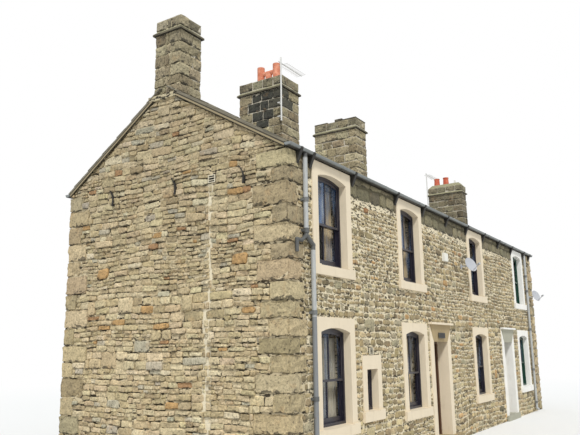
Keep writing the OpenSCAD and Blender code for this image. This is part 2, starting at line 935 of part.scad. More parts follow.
// Rose, neck and knob in shares of the knob's radius
module door_knob() {
    neck = knob_r * 0.37;
    reach = knob_r * 2.15;
    rotate_extrude($fn = round_fn) polygon([
        [0, -eps], [knob_r, -eps], [knob_r, knob_r * 0.2], [neck, knob_r * 0.37],
        [neck, knob_r], [knob_r, knob_r * 1.4], [knob_r, knob_r * 1.85],
        [knob_r * 0.6, reach], [0, reach]
    ]);
}

module front_door_1() {
    color("saddlebrown") placed() front_door(door_1_x);
}

module front_door_2() {
    color("white") placed() front_door(door_2_x);
}

// Chimneys

module chimney_breasts() {
    color("rosybrown") placed() difference() {
        for (i = [1:3]) stack_prism(stacks[i], ground_floor_t, stack_foot_z);
        block([row_l - wall_t, 0, 0], [row_l, row_d, sky_z]);
    }
}

module chimney_stack_1() {
    s = stacks[0];
    color("tan") placed() {
        stack_prism(s, ledge_z, stack_1_z);
        block([-ledge_reach, s[2], ledge_z], [s[0] + eps, s[2] + s[3] + ledge_past, ledge_z + ledge_h]);
    }
}

module chimney_stack_2() {
    color("tan") placed() stack_prism(stacks[1], stack_foot_z, stack_2_z);
}

module chimney_stack_3() {
    color("tan") placed() stack_prism(stacks[2], stack_foot_z, stack_3_z);
}

module chimney_stack_4() {
    color("tan") placed() stack_prism(stacks[3], stack_foot_z, stack_4_z);
}

// Section between a and b with a weathered top that falls to a thin nose each side
module weathered(a, b, z) {
    polygon([
        [a - drip_reach, z], [a - drip_reach, z + drip_nose_t], [a, z + drip_t],
        [b, z + drip_t], [b + drip_reach, z + drip_nose_t], [b + drip_reach, z]
    ]);
}

module drip_slab(s) {
    x1 = s[0] + s[1];
    y1 = s[2] + s[3];
    intersection() {
        along_x(s[0] - drip_reach, x1 + drip_reach) weathered(s[2], y1, s[4]);
        along_y(s[2] - drip_reach, y1 + drip_reach) weathered(s[0], x1, s[4]);
    }
}

module stack_drip_slabs() {
    color("darkkhaki") placed() for (s = stacks) drip_slab(s);
}

function cap_top_z(s) = s[4] + drip_t + cap_h;
function cap_centre(s) = [s[0] + s[1] / 2, s[2] + s[3] / 2, cap_top_z(s)];

module stack_caps() {
    color("dimgray") placed() for (s = stacks) stack_prism(s, s[4] + drip_t, cap_top_z(s));
}

// Mortar bed with four sloping sides, raised from the cap's faces
module bed_section(a, b, z) {
    polygon([[a, z], [a + bed_inset, z + bed_h], [b - bed_inset, z + bed_h], [b, z]]);
}

module pot_bed() {
    s = stacks[3];
    x1 = s[0] + s[1];
    y1 = s[2] + s[3];
    z = cap_top_z(s);
    difference() {
        intersection() {
            along_x(s[0], x1) bed_section(s[2], y1, z);
            along_y(s[2], y1) bed_section(s[0], x1, z);
        }
        at_plain_pots() translate([0, 0, -eps])
            cylinder(r = pot_foot_r + seat, h = pot_h, $fn = round_fn);
        at_vent_pipe() translate([0, 0, -eps])
            cylinder(r = vent_pipe_r + seat, h = pot_h, $fn = round_fn);
    }
}

// Capping slates and cover slab of stack 3, mortar bed of stack 4
module stack_toppings() {
    s = stacks[2];
    z = cap_top_z(s);
    rear = s[2] + s[3];
    cover_y = s[2] + capping_front_d + cover_gap;
    color("slategray") placed() {
        block([s[0] - capping_reach, s[2] - capping_reach, z],
            [s[0] + s[1] + capping_reach, s[2] + capping_front_d, z + capping_t]);
        block([s[0] - capping_reach, rear - capping_rear_d, z],
            [s[0] + s[1] + capping_reach, rear + capping_reach, z + capping_t]);
        block([s[0] - capping_reach, cover_y, z],
            [s[0] - capping_reach + cover_w, cover_y + cover_d, z + cover_t]);
        pot_bed();
    }
}

// Two upright tubes on a cross tube, over a short stem
module two_tube_pot() {
    color("sienna") placed() translate(cap_centre(stacks[1])) difference() {
        union() {
            cylinder(r = h_stem_r, h = h_cross_z, $fn = round_fn);
            translate([0, -h_tube_gap / 2, h_cross_z]) rotate([-90, 0, 0])
                cylinder(r = h_cross_r, h = h_tube_gap, $fn = round_fn);
            for (side = [-1, 1]) translate([0, side * h_tube_gap / 2, h_tube_foot])
                cylinder(r = h_tube_r, h = h_tube_l, $fn = round_fn);
        }
        for (side = [-1, 1]) translate([0, side * h_tube_gap / 2, h_tube_foot - eps])
            cylinder(r = h_tube_r - pot_wall, h = h_tube_l + 2 * eps, $fn = round_fn);
    }
}

module at_plain_pots() {
    translate(cap_centre(stacks[3])) for (side = [-1, 1])
        translate([0, pot_shift + side * pot_gap / 2, 0]) children();
}

module plain_pots() {
    lip_z = pot_h - pot_lip_h;
    color("firebrick") placed() at_plain_pots() rotate_extrude($fn = round_fn) polygon([
        [pot_foot_r, 0], [pot_neck_r, lip_z], [pot_lip_r, lip_z + 8], [pot_lip_r, pot_h],
        [pot_neck_r - pot_wall, pot_h], [pot_foot_r - pot_wall, 0]
    ]);
}

module at_vent_pipe() {
    s = stacks[3];
    translate([s[0] + s[1] / 2, s[2] + vent_pipe_in, cap_top_z(s)]) children();
}

module vent_pipe() {
    color("white") placed() at_vent_pipe() difference() {
        cylinder(r = vent_pipe_r, h = vent_pipe_h, $fn = round_fn);
        translate([0, 0, -eps])
            cylinder(r = vent_pipe_r * 0.85, h = vent_pipe_h + 2 * eps, $fn = round_fn);
    }
}

// Roof

module roof_holes() {
    for (s = stacks) stack_prism(s, stack_foot_z - eps, sky_z);
    block([-verge - eps, stack_1_y, ledge_z],
        [stack_1_x + eps, stack_1_y + stack_1_d + ledge_past, sky_z]);
}

// Slope outline with only the slates reaching past the wall face
function slope_points(fall, rise) = [
    [0, 0], [rise, rise * fall], [rise, rise * fall + roof_t],
    [-slate_reach, -slate_reach * fall + roof_t],
    [-slate_reach, -slate_reach * fall + roof_t - slate_t], [0, roof_t - slate_t]
];

module roof_front() {
    color("slategray") placed() difference() {
        translate([0, 0, eaves_z + seat]) along_x(-verge, row_l + verge)
            polygon(slope_points(front_fall, ridge_y));
        roof_holes();
    }
}

module roof_rear() {
    color("slategray") placed() difference() {
        at_rear() translate([0, 0, rear_eaves_z + seat]) along_x(-verge, row_l + verge)
            polygon(slope_points(rear_fall, row_d - ridge_y));
        roof_holes();
    }
}

module ridge_tiles() {
    top = ridge_z + roof_t + 2 * seat;
    a = ridge_wing * cos(front_pitch);
    b = ridge_wing * cos(rear_pitch);
    color("gray") placed() difference() {
        along_x(stack_1_x + stack_1_w, row_l + verge) polygon([
            [ridge_y, top], [ridge_y - a, top - a * front_fall],
            [ridge_y - a, top - a * front_fall + ridge_tile_t], [ridge_y, top + ridge_tile_t],
            [ridge_y + b, top - b * rear_fall + ridge_tile_t], [ridge_y + b, top - b * rear_fall]
        ]);
        roof_holes();
    }
}

// Rainwater

module gutter_run(z) {
    x0 = -verge - gutter_over;
    x1 = row_l + verge + gutter_over;
    translate([0, gutter_y, z]) {
        along_x(x0, x1) difference() {
            circle(gutter_r, $fn = round_fn);
            circle(gutter_r - gutter_t, $fn = round_fn);
            translate([-2 * gutter_r, 0]) square(4 * gutter_r);
        }
        for (x = [x0, x1 - gutter_t]) along_x(x, x + gutter_t) difference() {
            circle(gutter_r, $fn = round_fn);
            translate([-2 * gutter_r, 0]) square(4 * gutter_r);
        }
    }
}

module gutters() {
    color("darkslategray") placed() {
        gutter_run(gutter_z);
        at_rear() gutter_run(rear_gutter_z);
    }
}

// Bracket like a corbel, from a foot on the wall up to a seat round the gutter
module bracket(z) {
    outer = gutter_r + seat + bracket_t;
    translate([0, gutter_y, z]) along_x(-bracket_w / 2, bracket_w / 2) difference() {
        union() {
            circle(outer, $fn = round_fn);
            polygon([
                [-gutter_y, 0], [-gutter_y, -bracket_h], [-gutter_y - bracket_foot_t, -bracket_h],
                [-outer * 0.8, -outer * 0.6], [0, 0]
            ]);
        }
        circle(gutter_r + seat, $fn = round_fn);
        translate([-2 * outer, 0]) square([4 * outer, 2 * outer]);
        translate([-gutter_y, -4 * outer]) square([outer, 8 * outer]);
    }
}

module gutter_brackets() {
    color("black") placed() for (x = bracket_xs) {
        translate([x, 0, 0]) bracket(gutter_z);
        at_rear() translate([x, 0, 0]) bracket(rear_gutter_z);
    }
}

// Straight pipe between two points
module pipe_piece(a, b, d) {
    v = b - a;
    translate(a) rotate([0, acos(v[2] / norm(v)), atan2(v[1], v[0])])
        cylinder(d = d, h = norm(v), $fn = round_fn);
}

// Pipe through a list of points, with a slightly fuller round bend at each turn
module pipe_run(points, d) {
    for (i = [0:len(points) - 2]) pipe_piece(points[i], points[i + 1], d);
    for (i = [1:len(points) - 2]) translate(points[i]) sphere(d = d * bend_grow, $fn = round_fn);
}

// Collar with a pair of ears fixed to the wall
module collar(x, z) {
    ear_z = z + (collar_h - ear_h) / 2;
    translate([x, -pipe_y, z]) cylinder(d = collar_d, h = collar_h, $fn = round_fn);
    block([x - collar_ear, -pipe_y, ear_z], [x + collar_ear, 0, ear_z + ear_h]);
}

module downpipe(x, shift, top_z) {
    low_x = x + shift;
    pipe_run([
        [x, -pipe_y, top_z - gutter_r], [x, -pipe_y, swan_z],
        [low_x, -pipe_y, swan_z - swan_drop], [low_x, -pipe_y, shoe_z],
        [low_x, -pipe_y - shoe_reach, shoe_z - shoe_reach]
    ], pipe_d);
    for (z = [high_collar_z, swan_z + collar_h / 2]) collar(x, z);
    for (z = [low_collar_z, low_collar_z / 2, shoe_z + 2 * collar_h]) collar(low_x, z);
}

// Old branch left on the near downpipe, cut off under its bend
module branch_stub() {
    end_x = near_pipe_x - stub_reach;
    knee_z = swan_z - stub_drop / 3;
    pipe_run([
        [near_pipe_x, -pipe_y, swan_z], [near_pipe_x - stub_reach / 2, -pipe_y, knee_z],
        [end_x, -pipe_y, knee_z], [end_x, -pipe_y, swan_z - stub_drop]
    ], stub_d);
}

module downpipes() {
    color("gray") placed() {
        downpipe(near_pipe_x, near_pipe_shift, gutter_z);
        branch_stub();
        downpipe(far_pipe_x, 0, gutter_z);
        at_rear() downpipe(near_pipe_x, 0, rear_gutter_z);
        at_rear() downpipe(far_pipe_x, 0, rear_gutter_z);
    }
}

// Fittings

// Mast beside a stack's near face, held by two angled brackets, with its aerial
module aerial(s, y, top_z, boom_drop) {
    x = s[0] - mast_out;
    foot_z = s[4] - mast_hold;
    boom_z = top_z - boom_drop;
    boom_x = x - boom_l * 0.1;
    face_y = min(max(y, s[2] + mast_bracket_t), s[2] + s[3] - mast_bracket_t);
    half = mast_bracket_t / 2;
    translate([x, y, foot_z]) cylinder(r = mast_r, h = top_z - foot_z, $fn = round_fn);
    for (z = [foot_z + mast_hold * 0.12, foot_z + mast_hold * 0.5]) {
        block([x - half, min(y, face_y) - half, z], [x + half, max(y, face_y) + half, z + mast_bracket_t]);
        block([x - half, face_y - half, z], [s[0], face_y + half, z + mast_bracket_t]);
    }
    pipe_piece([boom_x, y, boom_z], [boom_x + boom_l, y, boom_z], boom_d);
    for (i = [0:11]) translate([boom_x + boom_l * (0.2 + i * 0.07), y, boom_z])
        rotate([90, 0, 0]) cylinder(d = rod_d, h = rod_l, center = true, $fn = 8);
}

module aerials() {
    color("silver") placed() {
        aerial(stacks[1], stack_2_y - mast_out * 0.53, mast_2_z, boom_2_drop);
        aerial(stacks[3], stack_4_y + stack_4_d + mast_r / 2, mast_4_z, boom_4_drop);
    }
}

// Shallow dish, its bowl a revolved arc
module bowl() {
    ball_r = (dish_r * dish_r + dish_depth * dish_depth) / (2 * dish_depth);
    steps = 8;
    edge = asin(dish_r / ball_r);
    function arc(r) = [for (i = [0:steps])
        [r * sin(edge * i / steps), ball_r - r * cos(edge * i / steps)]];
    outer = arc(ball_r);
    inner = arc(ball_r - dish_t);
    rotate_extrude($fn = round_fn) polygon(concat(outer, [for (i = [steps:-1:0]) inner[i]]));
}

// Dish that looks outwards and up, with its feed arm below and its arm to a plate on the wall
module dish() {
    feed_out = dish_r * 1.3;
    foot = [-dish_r * 0.45, dish_y, -dish_r * 0.15];
    axis = [sin(dish_tilt) * cos(dish_turn), sin(dish_tilt) * sin(dish_turn), cos(dish_tilt)];
    rotate([0, dish_tilt, dish_turn]) {
        bowl();
        translate([0, 0, -dish_clamp_l])
            cylinder(d = dish_clamp_d, h = dish_clamp_l + dish_t / 2, $fn = round_fn);
        pipe_piece([dish_r * 0.9, 0, dish_depth / 2], [dish_r * 0.62, 0, feed_out], feed_arm_d);
        translate([dish_r * 0.55, 0, feed_out - feed_l * 3 / 8])
            cylinder(d = feed_d, h = feed_l, $fn = round_fn);
    }
    pipe_piece(-0.75 * dish_clamp_l * axis, foot - [0, foot_t, 0], wall_arm_d);
    block(foot - [foot_w / 2, foot_t, foot_w / 2], foot + [foot_w / 2, 0, foot_w / 2]);
}

module satellite_dishes() {
    color("darkgray") placed() {
        translate([bay_3_x - dish_1_off, -dish_y, dish_1_z]) dish();
        translate([row_l - dish_2_in, -dish_y, dish_2_z]) dish();
    }
}

module at_gable_vent() {
    translate([0, gable_vent_y, gable_vent_z]) rotate([0, 0, -90]) children();
}

module at_air_brick() {
    translate([pantry_x - air_brick_off, 0,
        pantry_sill_z + pantry_h + pantry_lintel_h + air_brick_up]) children();
}

module vent_hole(w, h) {
    block([-w / 2, -eps, 0], [w / 2, vent_d, h]);
}

// Vent with three slots in its face
module louvre(w, h) {
    difference() {
        block([-w / 2, 0, 0], [w / 2, vent_d, h]);
        for (share = [0.22, 0.5, 0.78])
            block([-w / 2 + slot_rim, -eps, h * (share - 0.075)],
                [w / 2 - slot_rim, slot_d, h * (share + 0.075)]);
    }
}

// Gable vent, air brick and wall box
module wall_fittings() {
    color("ivory") placed() {
        at_gable_vent() louvre(gable_vent_w, gable_vent_h);
        at_air_brick() louvre(air_brick_w, air_brick_h);
        block([box_x, -box_d, box_z], [box_x + box_w, 0, box_z + box_h]);
    }
}

ground_floor();
upper_floor();
near_gable_wall();
far_gable_wall();
front_wall_near();
front_wall_middle();
front_wall_far();
wall_over_door_1();
wall_over_door_2();
rear_wall_near();
rear_wall_far();
window_lintels();
window_jambs();
window_sills();
window_frames();
window_sashes();
window_glass();
door_jambs();
door_heads();
door_hoods();
door_steps();
door_frame_1();
door_frame_2();
front_door_1();
front_door_2();
chimney_breasts();
chimney_stack_1();
chimney_stack_2();
chimney_stack_3();
chimney_stack_4();
stack_drip_slabs();
stack_caps();
stack_toppings();
two_tube_pot();
plain_pots();
vent_pipe();
roof_front();
roof_rear();
ridge_tiles();
gutters();
gutter_brackets();
downpipes();
aerials();
satellite_dishes();
wall_fittings();
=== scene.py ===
import math

import bmesh
import bpy
import numpy as np
from mathutils import Matrix, Vector


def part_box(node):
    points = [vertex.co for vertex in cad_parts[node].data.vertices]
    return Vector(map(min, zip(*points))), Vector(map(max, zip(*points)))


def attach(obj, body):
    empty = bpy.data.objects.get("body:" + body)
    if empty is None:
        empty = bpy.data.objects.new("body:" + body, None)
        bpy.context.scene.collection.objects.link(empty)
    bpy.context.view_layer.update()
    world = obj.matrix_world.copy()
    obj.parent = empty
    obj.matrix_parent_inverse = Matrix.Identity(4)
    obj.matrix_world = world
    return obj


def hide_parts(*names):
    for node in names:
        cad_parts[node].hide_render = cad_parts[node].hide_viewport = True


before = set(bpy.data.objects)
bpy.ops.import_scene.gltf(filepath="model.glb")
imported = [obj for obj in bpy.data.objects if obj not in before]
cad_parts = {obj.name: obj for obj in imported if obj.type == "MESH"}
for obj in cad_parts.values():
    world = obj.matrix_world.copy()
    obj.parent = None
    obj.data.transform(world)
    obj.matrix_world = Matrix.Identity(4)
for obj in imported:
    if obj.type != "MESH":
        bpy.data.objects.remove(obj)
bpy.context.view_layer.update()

# A row of two old stone houses: rubble walls, dressed surrounds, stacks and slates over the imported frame.
# Places are in metres from the near front corner on the ground: x along the front, y into the house.
corner = np.array(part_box("near_gable_wall")[0])
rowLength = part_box("far_gable_wall")[1].x - corner[0]
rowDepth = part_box("near_gable_wall")[1].y - corner[1]
scene = bpy.context.scene

layout = dict(
    bays=(1.38, 4.71, 9.14, 13.54), sillTops=(0.84, 3.368), rearSillTops=(0.84, 3.2534),
    clearHeight=1.46, lintel=0.235, sill=0.17, surroundHalf=0.655, sillHalf=0.685,
    doors=(6.15, 11.72), doorHalf=0.63, headTop=2.533, hoodHalf=0.67, hoodTop=2.578,
    # middle, sill top, height with lintel, half of the surround and half of the sill
    pantry=(2.66, 0.98, 0.94, 0.37, 0.40),
    eaves=5.073, rearEaves=4.9634, ridgeY=2.56, frontPitch=30.7, rearPitch=34.4, roofThick=0.105,
    gutterRim=0.057, whiteFrom=10.5)               # beyond whiteFrom surrounds are white, sashes green
frontRise, rearRise = (math.tan(math.radians(layout[key])) for key in ("frontPitch", "rearPitch"))


def place(x, y, z):
    return Vector((corner[0] + x, corner[1] + y, z))


def levelTop(height):
    return lambda u: np.full(u.shape, height)


def underRoof(y):
    # height of the roof's underside over a distance y from the front face
    ridgeY = layout["ridgeY"]
    front = layout["eaves"] + y * frontRise
    return np.where(y < ridgeY, front, layout["eaves"] + ridgeY * frontRise - (y - ridgeY) * rearRise)


def linear(value):
    value = value / 255
    return value / 12.92 if value <= 0.04045 else ((value + 0.055) / 1.055) ** 2.4


def tone(red, green, blue):
    # a colour as seen on the screen
    return (linear(red), linear(green), linear(blue), 1.0)


def tintOf(color):
    return np.array(tone(*color)[:3])


def mathNode(operation, reflected=False):
    # a Python operator that adds a Math node to the tap's tree
    def apply(tap, other):
        first, second = (other, tap) if reflected else (tap, other)
        return tap.maker.math(operation, first, second)
    return apply


class Tap:
    # an output of a node, with sums written as plain Python
    def __init__(self, maker, socket):
        self.maker, self.socket = maker, socket

    # another output of the same node
    def out(self, key):
        return Tap(self.maker, self.socket.node.outputs[key])

    __add__, __radd__ = mathNode("ADD"), mathNode("ADD", True)
    __sub__, __rsub__ = mathNode("SUBTRACT"), mathNode("SUBTRACT", True)
    __mul__, __rmul__ = mathNode("MULTIPLY"), mathNode("MULTIPLY", True)
    __truediv__, __rtruediv__ = mathNode("DIVIDE"), mathNode("DIVIDE", True)
    __gt__, __lt__ = mathNode("GREATER_THAN"), mathNode("LESS_THAN")


class Maker:
    # a tree of nodes under construction
    def __init__(self, tree):
        self.tree = tree
        tree.nodes.clear()

    # kind of node, its settings first, then the values or links of its sockets
    def add(self, kind, settings, sockets, out=0):
        node = self.tree.nodes.new(kind)
        for key, value in settings.items():
            setattr(node, key, value)
        for key, value in sockets.items():
            if isinstance(value, Tap):
                self.tree.links.new(value.socket, node.inputs[key])
            else:
                node.inputs[key].default_value = value
        return Tap(self, node.outputs[out]) if node.outputs else None

    def math(self, operation, *values):
        return self.add("ShaderNodeMath", dict(operation=operation), dict(enumerate(values)))


class Finish(Maker):
    # a material; here is the place on the object and x, y and z are its parts
    def __init__(self, name):
        self.material = bpy.data.materials.new(name)
        self.material.use_nodes = True
        super().__init__(self.material.node_tree)
        self.here = self.add("ShaderNodeTexCoord", {}, {}, "Object")
        self.x, self.y, self.z = self.parts(self.here)

    def parts(self, vector):
        split = self.add("ShaderNodeSeparateXYZ", {}, {0: vector})
        return split, split.out(1), split.out(2)

    def facing(self):
        return self.parts(self.add("ShaderNodeNewGeometry", {}, {}, "Normal"))

    def tint(self):
        return self.add("ShaderNodeAttribute", dict(attribute_name="tint"), {})

    def noise(self, scale, detail=3.0, rough=0.55, stretch=None):
        where = self.add("ShaderNodeMapping", {}, {0: self.here, 3: stretch}) if stretch else self.here
        return self.add("ShaderNodeTexNoise", {}, {0: where, 2: scale, 3: detail, 4: rough})

    def band(self, value, low, high, first=0.0, last=1.0):
        settings = dict(interpolation_type="SMOOTHSTEP", clamp=True)
        return self.add("ShaderNodeMapRange", settings, {0: value, 1: low, 2: high, 3: first, 4: last})

    def between(self, value, low, high):
        return (value > low) * (value < high)

    def blend(self, share, first, second):
        return self.add("ShaderNodeMix", dict(data_type="RGBA"), {0: share, 6: first, 7: second}, 2)

    # near colour, and another one beyond the place where the far house's paint begins
    def byHouse(self, near, far):
        return self.blend(self.x > layout["whiteFrom"] + corner[0], near, far)

    def shade(self, color, amount):
        color = color if isinstance(color, Tap) else color[:3]
        return self.add("ShaderNodeVectorMath", dict(operation="SCALE"), {0: color, 3: amount})

    # relief is the height of the surface in metres, and fixed holds the shader's constants
    def close(self, color, rough, relief, strength, **fixed):
        bump = self.add("ShaderNodeBump", {}, {"Strength": strength, "Distance": 1.0, "Height": relief})
        sockets = {"Base Color": color, "Roughness": rough, "Normal": bump}
        sockets.update({key.replace("_", " "): value for key, value in fixed.items()})
        return self.finish(self.add("ShaderNodeBsdfPrincipled", {}, sockets))

    def finish(self, shader):
        self.add("ShaderNodeOutputMaterial", {}, {0: shader})
        return self.material


stoneLook = dict(hewnScale=26.0, fineScale=95.0, patchScale=6.0, gashScale=8.0, hewnDepth=0.014,
                 fineDepth=0.003, patchDepth=0.012, rustShare=0.22, underShadowShare=0.72)


def stoneFinish(name, mottle, under, gash, lit=0.0, darkerAbove=None, moss=0.0, soot=None):
    # rough sandstone: its colour from each stone's own tint, with a painted shadow under the ragged lower
    # edges and painted shade in the hollows of its face; under is how far that shadow reaches and gash how
    # dark the painted shade in the deeper hollows is; the argument after lit holds two heights and the
    # lightness above them, and soot its share and two heights
    f, s = Finish(name), stoneLook
    tint = f.tint()
    level = tint.out("Alpha")                                # height in the stone, 0 at its foot
    hewn, fine = f.noise(s["hewnScale"], 4.0, 0.66), f.noise(s["fineScale"], 2.0, 0.6)
    patch = f.noise(s["patchScale"])
    light = 1.0 + (hewn - 0.5) * mottle + (fine - 0.5) * mottle * 0.6 + (patch - 0.5) * mottle * 0.4
    # painted shade in the low hollows of the hewn face
    light = light - f.band(hewn, 0.42, 0.34) * 0.30
    # painted shadow under the ragged lower edge of each stone, reaching up as far as under allows
    jag = f.noise(13.0, 3.0, 0.6, stretch=(1.0, 1.0, 1.6)) * 0.6 + f.noise(3.6, 1.0) * 0.4
    reach = (jag - 0.45) * under
    light = light * (1.0 - f.band(reach - level, -0.02, 0.05) * s["underShadowShare"])
    split = f.noise(s["gashScale"], 4.0, 0.7, stretch=(1.0, 1.0, 2.4))
    light = light * (1.0 - f.band(split, 0.43, 0.36) * gash)              # painted shade in deep hollows left by the hammer
    if lit:
        light = light * (1.0 + f.band(level + reach * 0.3, 0.80, 0.95) * lit)      # sun on the upper edges
    # darker above the given heights
    if darkerAbove:
        light = light * f.band(f.z + patch * 0.8, darkerAbove[0], darkerAbove[1], 1.0, darkerAbove[2])
    color = f.shade(tint, light)
    rusty = f.band(f.noise(5.0, 2.0), 0.60, 0.72) * s["rustShare"]
    color = f.blend(rusty, color, f.shade(tone(176, 138, 90), light))
    if moss:
        color = f.blend(f.band(f.noise(11.0, 4.0, 0.7), 0.52, 0.66) * moss, color, tone(92, 98, 66))
    if soot:
        share, low, high = soot
        sooty = f.band(f.z, low, high) * f.band(f.noise(5.0, 4.0), 0.40, 0.62) * share
        color = f.blend(sooty, color, tone(52, 49, 40))
    relief = hewn * s["hewnDepth"] + fine * s["fineDepth"] + patch * s["patchDepth"]
    return f.close(color, 0.9 - fine * 0.1, relief, 1.0)


straightJoint = dict(y=1.53, half=0.11, core=0.07, low=0.5, high=4.72, share=0.85)
plaster = dict(skin=0.3, color=(196, 188, 170))        # skin: how far in from the outer faces it starts


def mortarFinish(name, pale, dark, shadedShare, eavesShadowFrom=99.0, crack=False, fine=1.0):
    # joints and backing between the stones, open in places with painted shade in them, with the gutter's
    # painted shadow on them under the eaves, and plastered faces inside the house
    f, j = Finish(name), straightJoint
    grain = f.noise(60.0, 4.0, 0.65)
    patch = f.noise(7.0 * fine, 3.0, 0.6, stretch=(1.0, 1.0, 2.6))
    # dark patches: painted shade in the open joints, over a share given by the dark share
    edge = 0.35 + shadedShare * 0.33
    color = f.blend(f.band(patch, edge + 0.05, edge - 0.05), pale, dark)
    # painted shadow of the gutter: the joints darken from the given height up to the eaves
    color = f.blend(f.band(f.z, eavesShadowFrom, eavesShadowFrom + 0.06), color, tone(92, 86, 64))
    if crack:
        # the old straight joint down the gable, filled with pale mortar
        off = f.math("ABSOLUTE", f.y - (corner[1] + j["y"]))
        filled = f.band(off, j["half"], j["core"]) * (f.z < j["high"]) * (f.z > j["low"]) * j["share"]
        color = f.blend(filled, color, tone(224, 213, 186))
    color = f.shade(color, 0.84 + grain * 0.32)
    inside = f.math("ABSOLUTE", f.x) < rowLength / 2 - plaster["skin"]
    inside = inside * (f.math("ABSOLUTE", f.y) < rowDepth / 2 - plaster["skin"])
    color = f.blend(inside, color, f.shade(tone(*plaster["color"]), 0.92 + patch * 0.16))
    return f.close(color, 0.95, grain * 0.006 + patch * 0.01, 0.9)


def slabFinish(name):
    # weathered drip slabs and toppings: mossy on top, dark below
    f = Finish(name)
    grain, patch = f.noise(46.0, 5.0, 0.62), f.noise(6.0)
    up = f.facing()[2]
    color = f.blend(f.band(patch, 0.35, 0.65), tone(70, 65, 52), tone(104, 97, 78))
    mossy = f.blend(f.band(grain, 0.4, 0.6), tone(136, 134, 100), tone(158, 152, 124))
    color = f.blend(f.band(up, 0.2, 0.7), color, mossy)
    color = f.blend(f.band(up, -0.4, -0.8), color, tone(52, 48, 38))
    return f.close(f.shade(color, 0.8 + grain * 0.4), 0.9, grain * 0.006 + patch * 0.008, 0.9)


def surroundFinish(name):
    # painted stone round the windows and doors: cream, and white round the far ones
    f = Finish(name)
    grain, patch = f.noise(70.0, 4.0), f.noise(3.2, 4.0)
    streak = f.band(f.noise(5.0, stretch=(1.6, 1.6, 0.5)), 0.52, 0.74)
    color = f.blend(streak * 0.20, f.byHouse(tone(229, 214, 187), tone(240, 238, 231)), tone(184, 168, 136))
    color = f.blend(f.band(f.noise(14.0, 5.0, 0.7), 0.62, 0.74) * 0.30, color, tone(190, 176, 146))
    color = f.shade(color, 0.95 + (patch - 0.5) * 0.14 + (grain - 0.5) * 0.08)
    return f.close(color, 0.62 + grain * 0.12, patch * 0.004 + grain * 0.0015, 0.8)


def doorStoneFinish(name):
    # the dressed head blocks over the doors, tan at the near door and greyer at the far door
    f = Finish(name)
    grain, patch = f.noise(60.0, 5.0, 0.6), f.noise(4.0)
    base = f.byHouse(tone(170, 150, 112), tone(170, 168, 150))
    color = f.shade(base, 0.84 + patch * 0.22 + (grain - 0.5) * 0.2)
    return f.close(color, 0.86, grain * 0.004 + patch * 0.004, 0.9)


def paintFinish(name, near, far, rough):
    # gloss paint on timber, a little dusty and worn along the grain
    f = Finish(name)
    grain = f.noise(30.0, 3.0, 0.6, stretch=(4.0, 4.0, 0.5))
    dust = f.band(f.noise(22.0, 4.0, 0.7), 0.52, 0.8)
    color = f.shade(f.byHouse(near, far), 0.9 + grain * 0.22)
    color = f.blend(dust * 0.16, color, tone(150, 146, 136))
    return f.close(color, rough + dust * 0.3, grain * 0.0012, 0.6, Coat_Weight=0.25, Coat_Roughness=0.2)


glazing = dict(paneHalf=0.5, skyFrom=4.05, nearSky=2.1, otherSky=0.7, clear=0.09, skyCover=0.22)


def glassFinish(name):
    # old window glass: nearly clear, with a painted reflection of the sky as soft streaks in the left of the
    # upper panes, and paler painted glints in it
    f, g = Finish(name), glazing
    drift = f.noise(1.6, 2.0, stretch=(2.4, 2.4, 0.5))
    sky = f.band(drift, 0.46, 0.60)
    for number, bay in enumerate(layout["bays"]):
        off = f.x - (corner[0] + bay)
        pane = f.between(off, -g["paneHalf"], -0.02) * (f.z > g["skyFrom"])
        sky = sky + pane * f.band(drift, 0.22, 0.46) * (g["otherSky"] if number else g["nearSky"])
    # painted glints: paler streaks within the painted sky reflection
    streak = f.band(f.noise(9.0, 2.0, stretch=(4.0, 4.0, 0.3)), 0.56, 0.66)
    color = f.blend(sky * 0.5, tone(24, 27, 28), tone(92, 124, 166))
    color = f.blend(streak * sky * 0.5, color, tone(170, 186, 200))
    ripple = f.noise(3.5, 1.0)
    return f.close(color, 0.04 + drift * 0.03, ripple * 0.004, 0.5, Alpha=g["clear"] + sky * g["skyCover"])


vergeBands = dict(fillet=(0.040, 0.048), slates=(0.066, 0.074), eaves=(0.045, 0.055), underside=0.012)


def slateFinish(name, verge=False):
    # stone slates; the CAD slabs also carry painted shade: a dark band under the verge slates, the foot of
    # the eaves edges and the underside
    f, v = Finish(name), vergeBands
    grain, patch = f.noise(40.0, 5.0, 0.62), f.noise(3.0)
    if verge:
        color = f.shade(tone(112, 106, 92), 0.75 + patch * 0.5)
    else:
        color = f.shade(f.tint(), 0.80 + patch * 0.28 + (grain - 0.5) * 0.24)
    color = f.blend(f.band(f.noise(16.0, 5.0, 0.7), 0.60, 0.68) * 0.45, color, tone(168, 166, 138))
    color = f.blend(f.band(f.noise(7.0, 4.0, 0.7), 0.60, 0.72) * 0.4, color, tone(84, 90, 60))
    if verge:
        away = f.y - corner[1]
        front = layout["eaves"] + away * frontRise
        rear = layout["rearEaves"] + (rowDepth - away) * rearRise
        high = f.z - f.math("MINIMUM", front, rear)           # height over the roof's underside
        along, across = f.facing()[:2]
        # painted shade for the band under the verge slates, the foot of the eaves edges and the slab's
        # underside
        dark = f.shade(tone(58, 53, 40), 0.7 + grain * 0.6)
        fillet = f.shade(tone(150, 136, 106), 0.75 + grain * 0.5)      # mortar under the verge slates
        edge = f.blend(f.band(high, *v["fillet"]), fillet, dark)
        edge = f.blend(f.band(high, *v["slates"]), edge, f.shade(tone(124, 117, 100), 0.7 + grain * 0.5))
        color = f.blend(f.math("ABSOLUTE", along) > 0.5, color, edge)
        edge = f.blend(f.band(high, *v["eaves"]), dark, f.shade(tone(126, 119, 102), 0.7 + grain * 0.5))
        color = f.blend(f.math("ABSOLUTE", across) > 0.9, color, edge)
        color = f.blend(high < v["underside"], color, dark)
    return f.close(color, 0.8 + grain * 0.1, grain * 0.006 + patch * 0.006, 0.9)


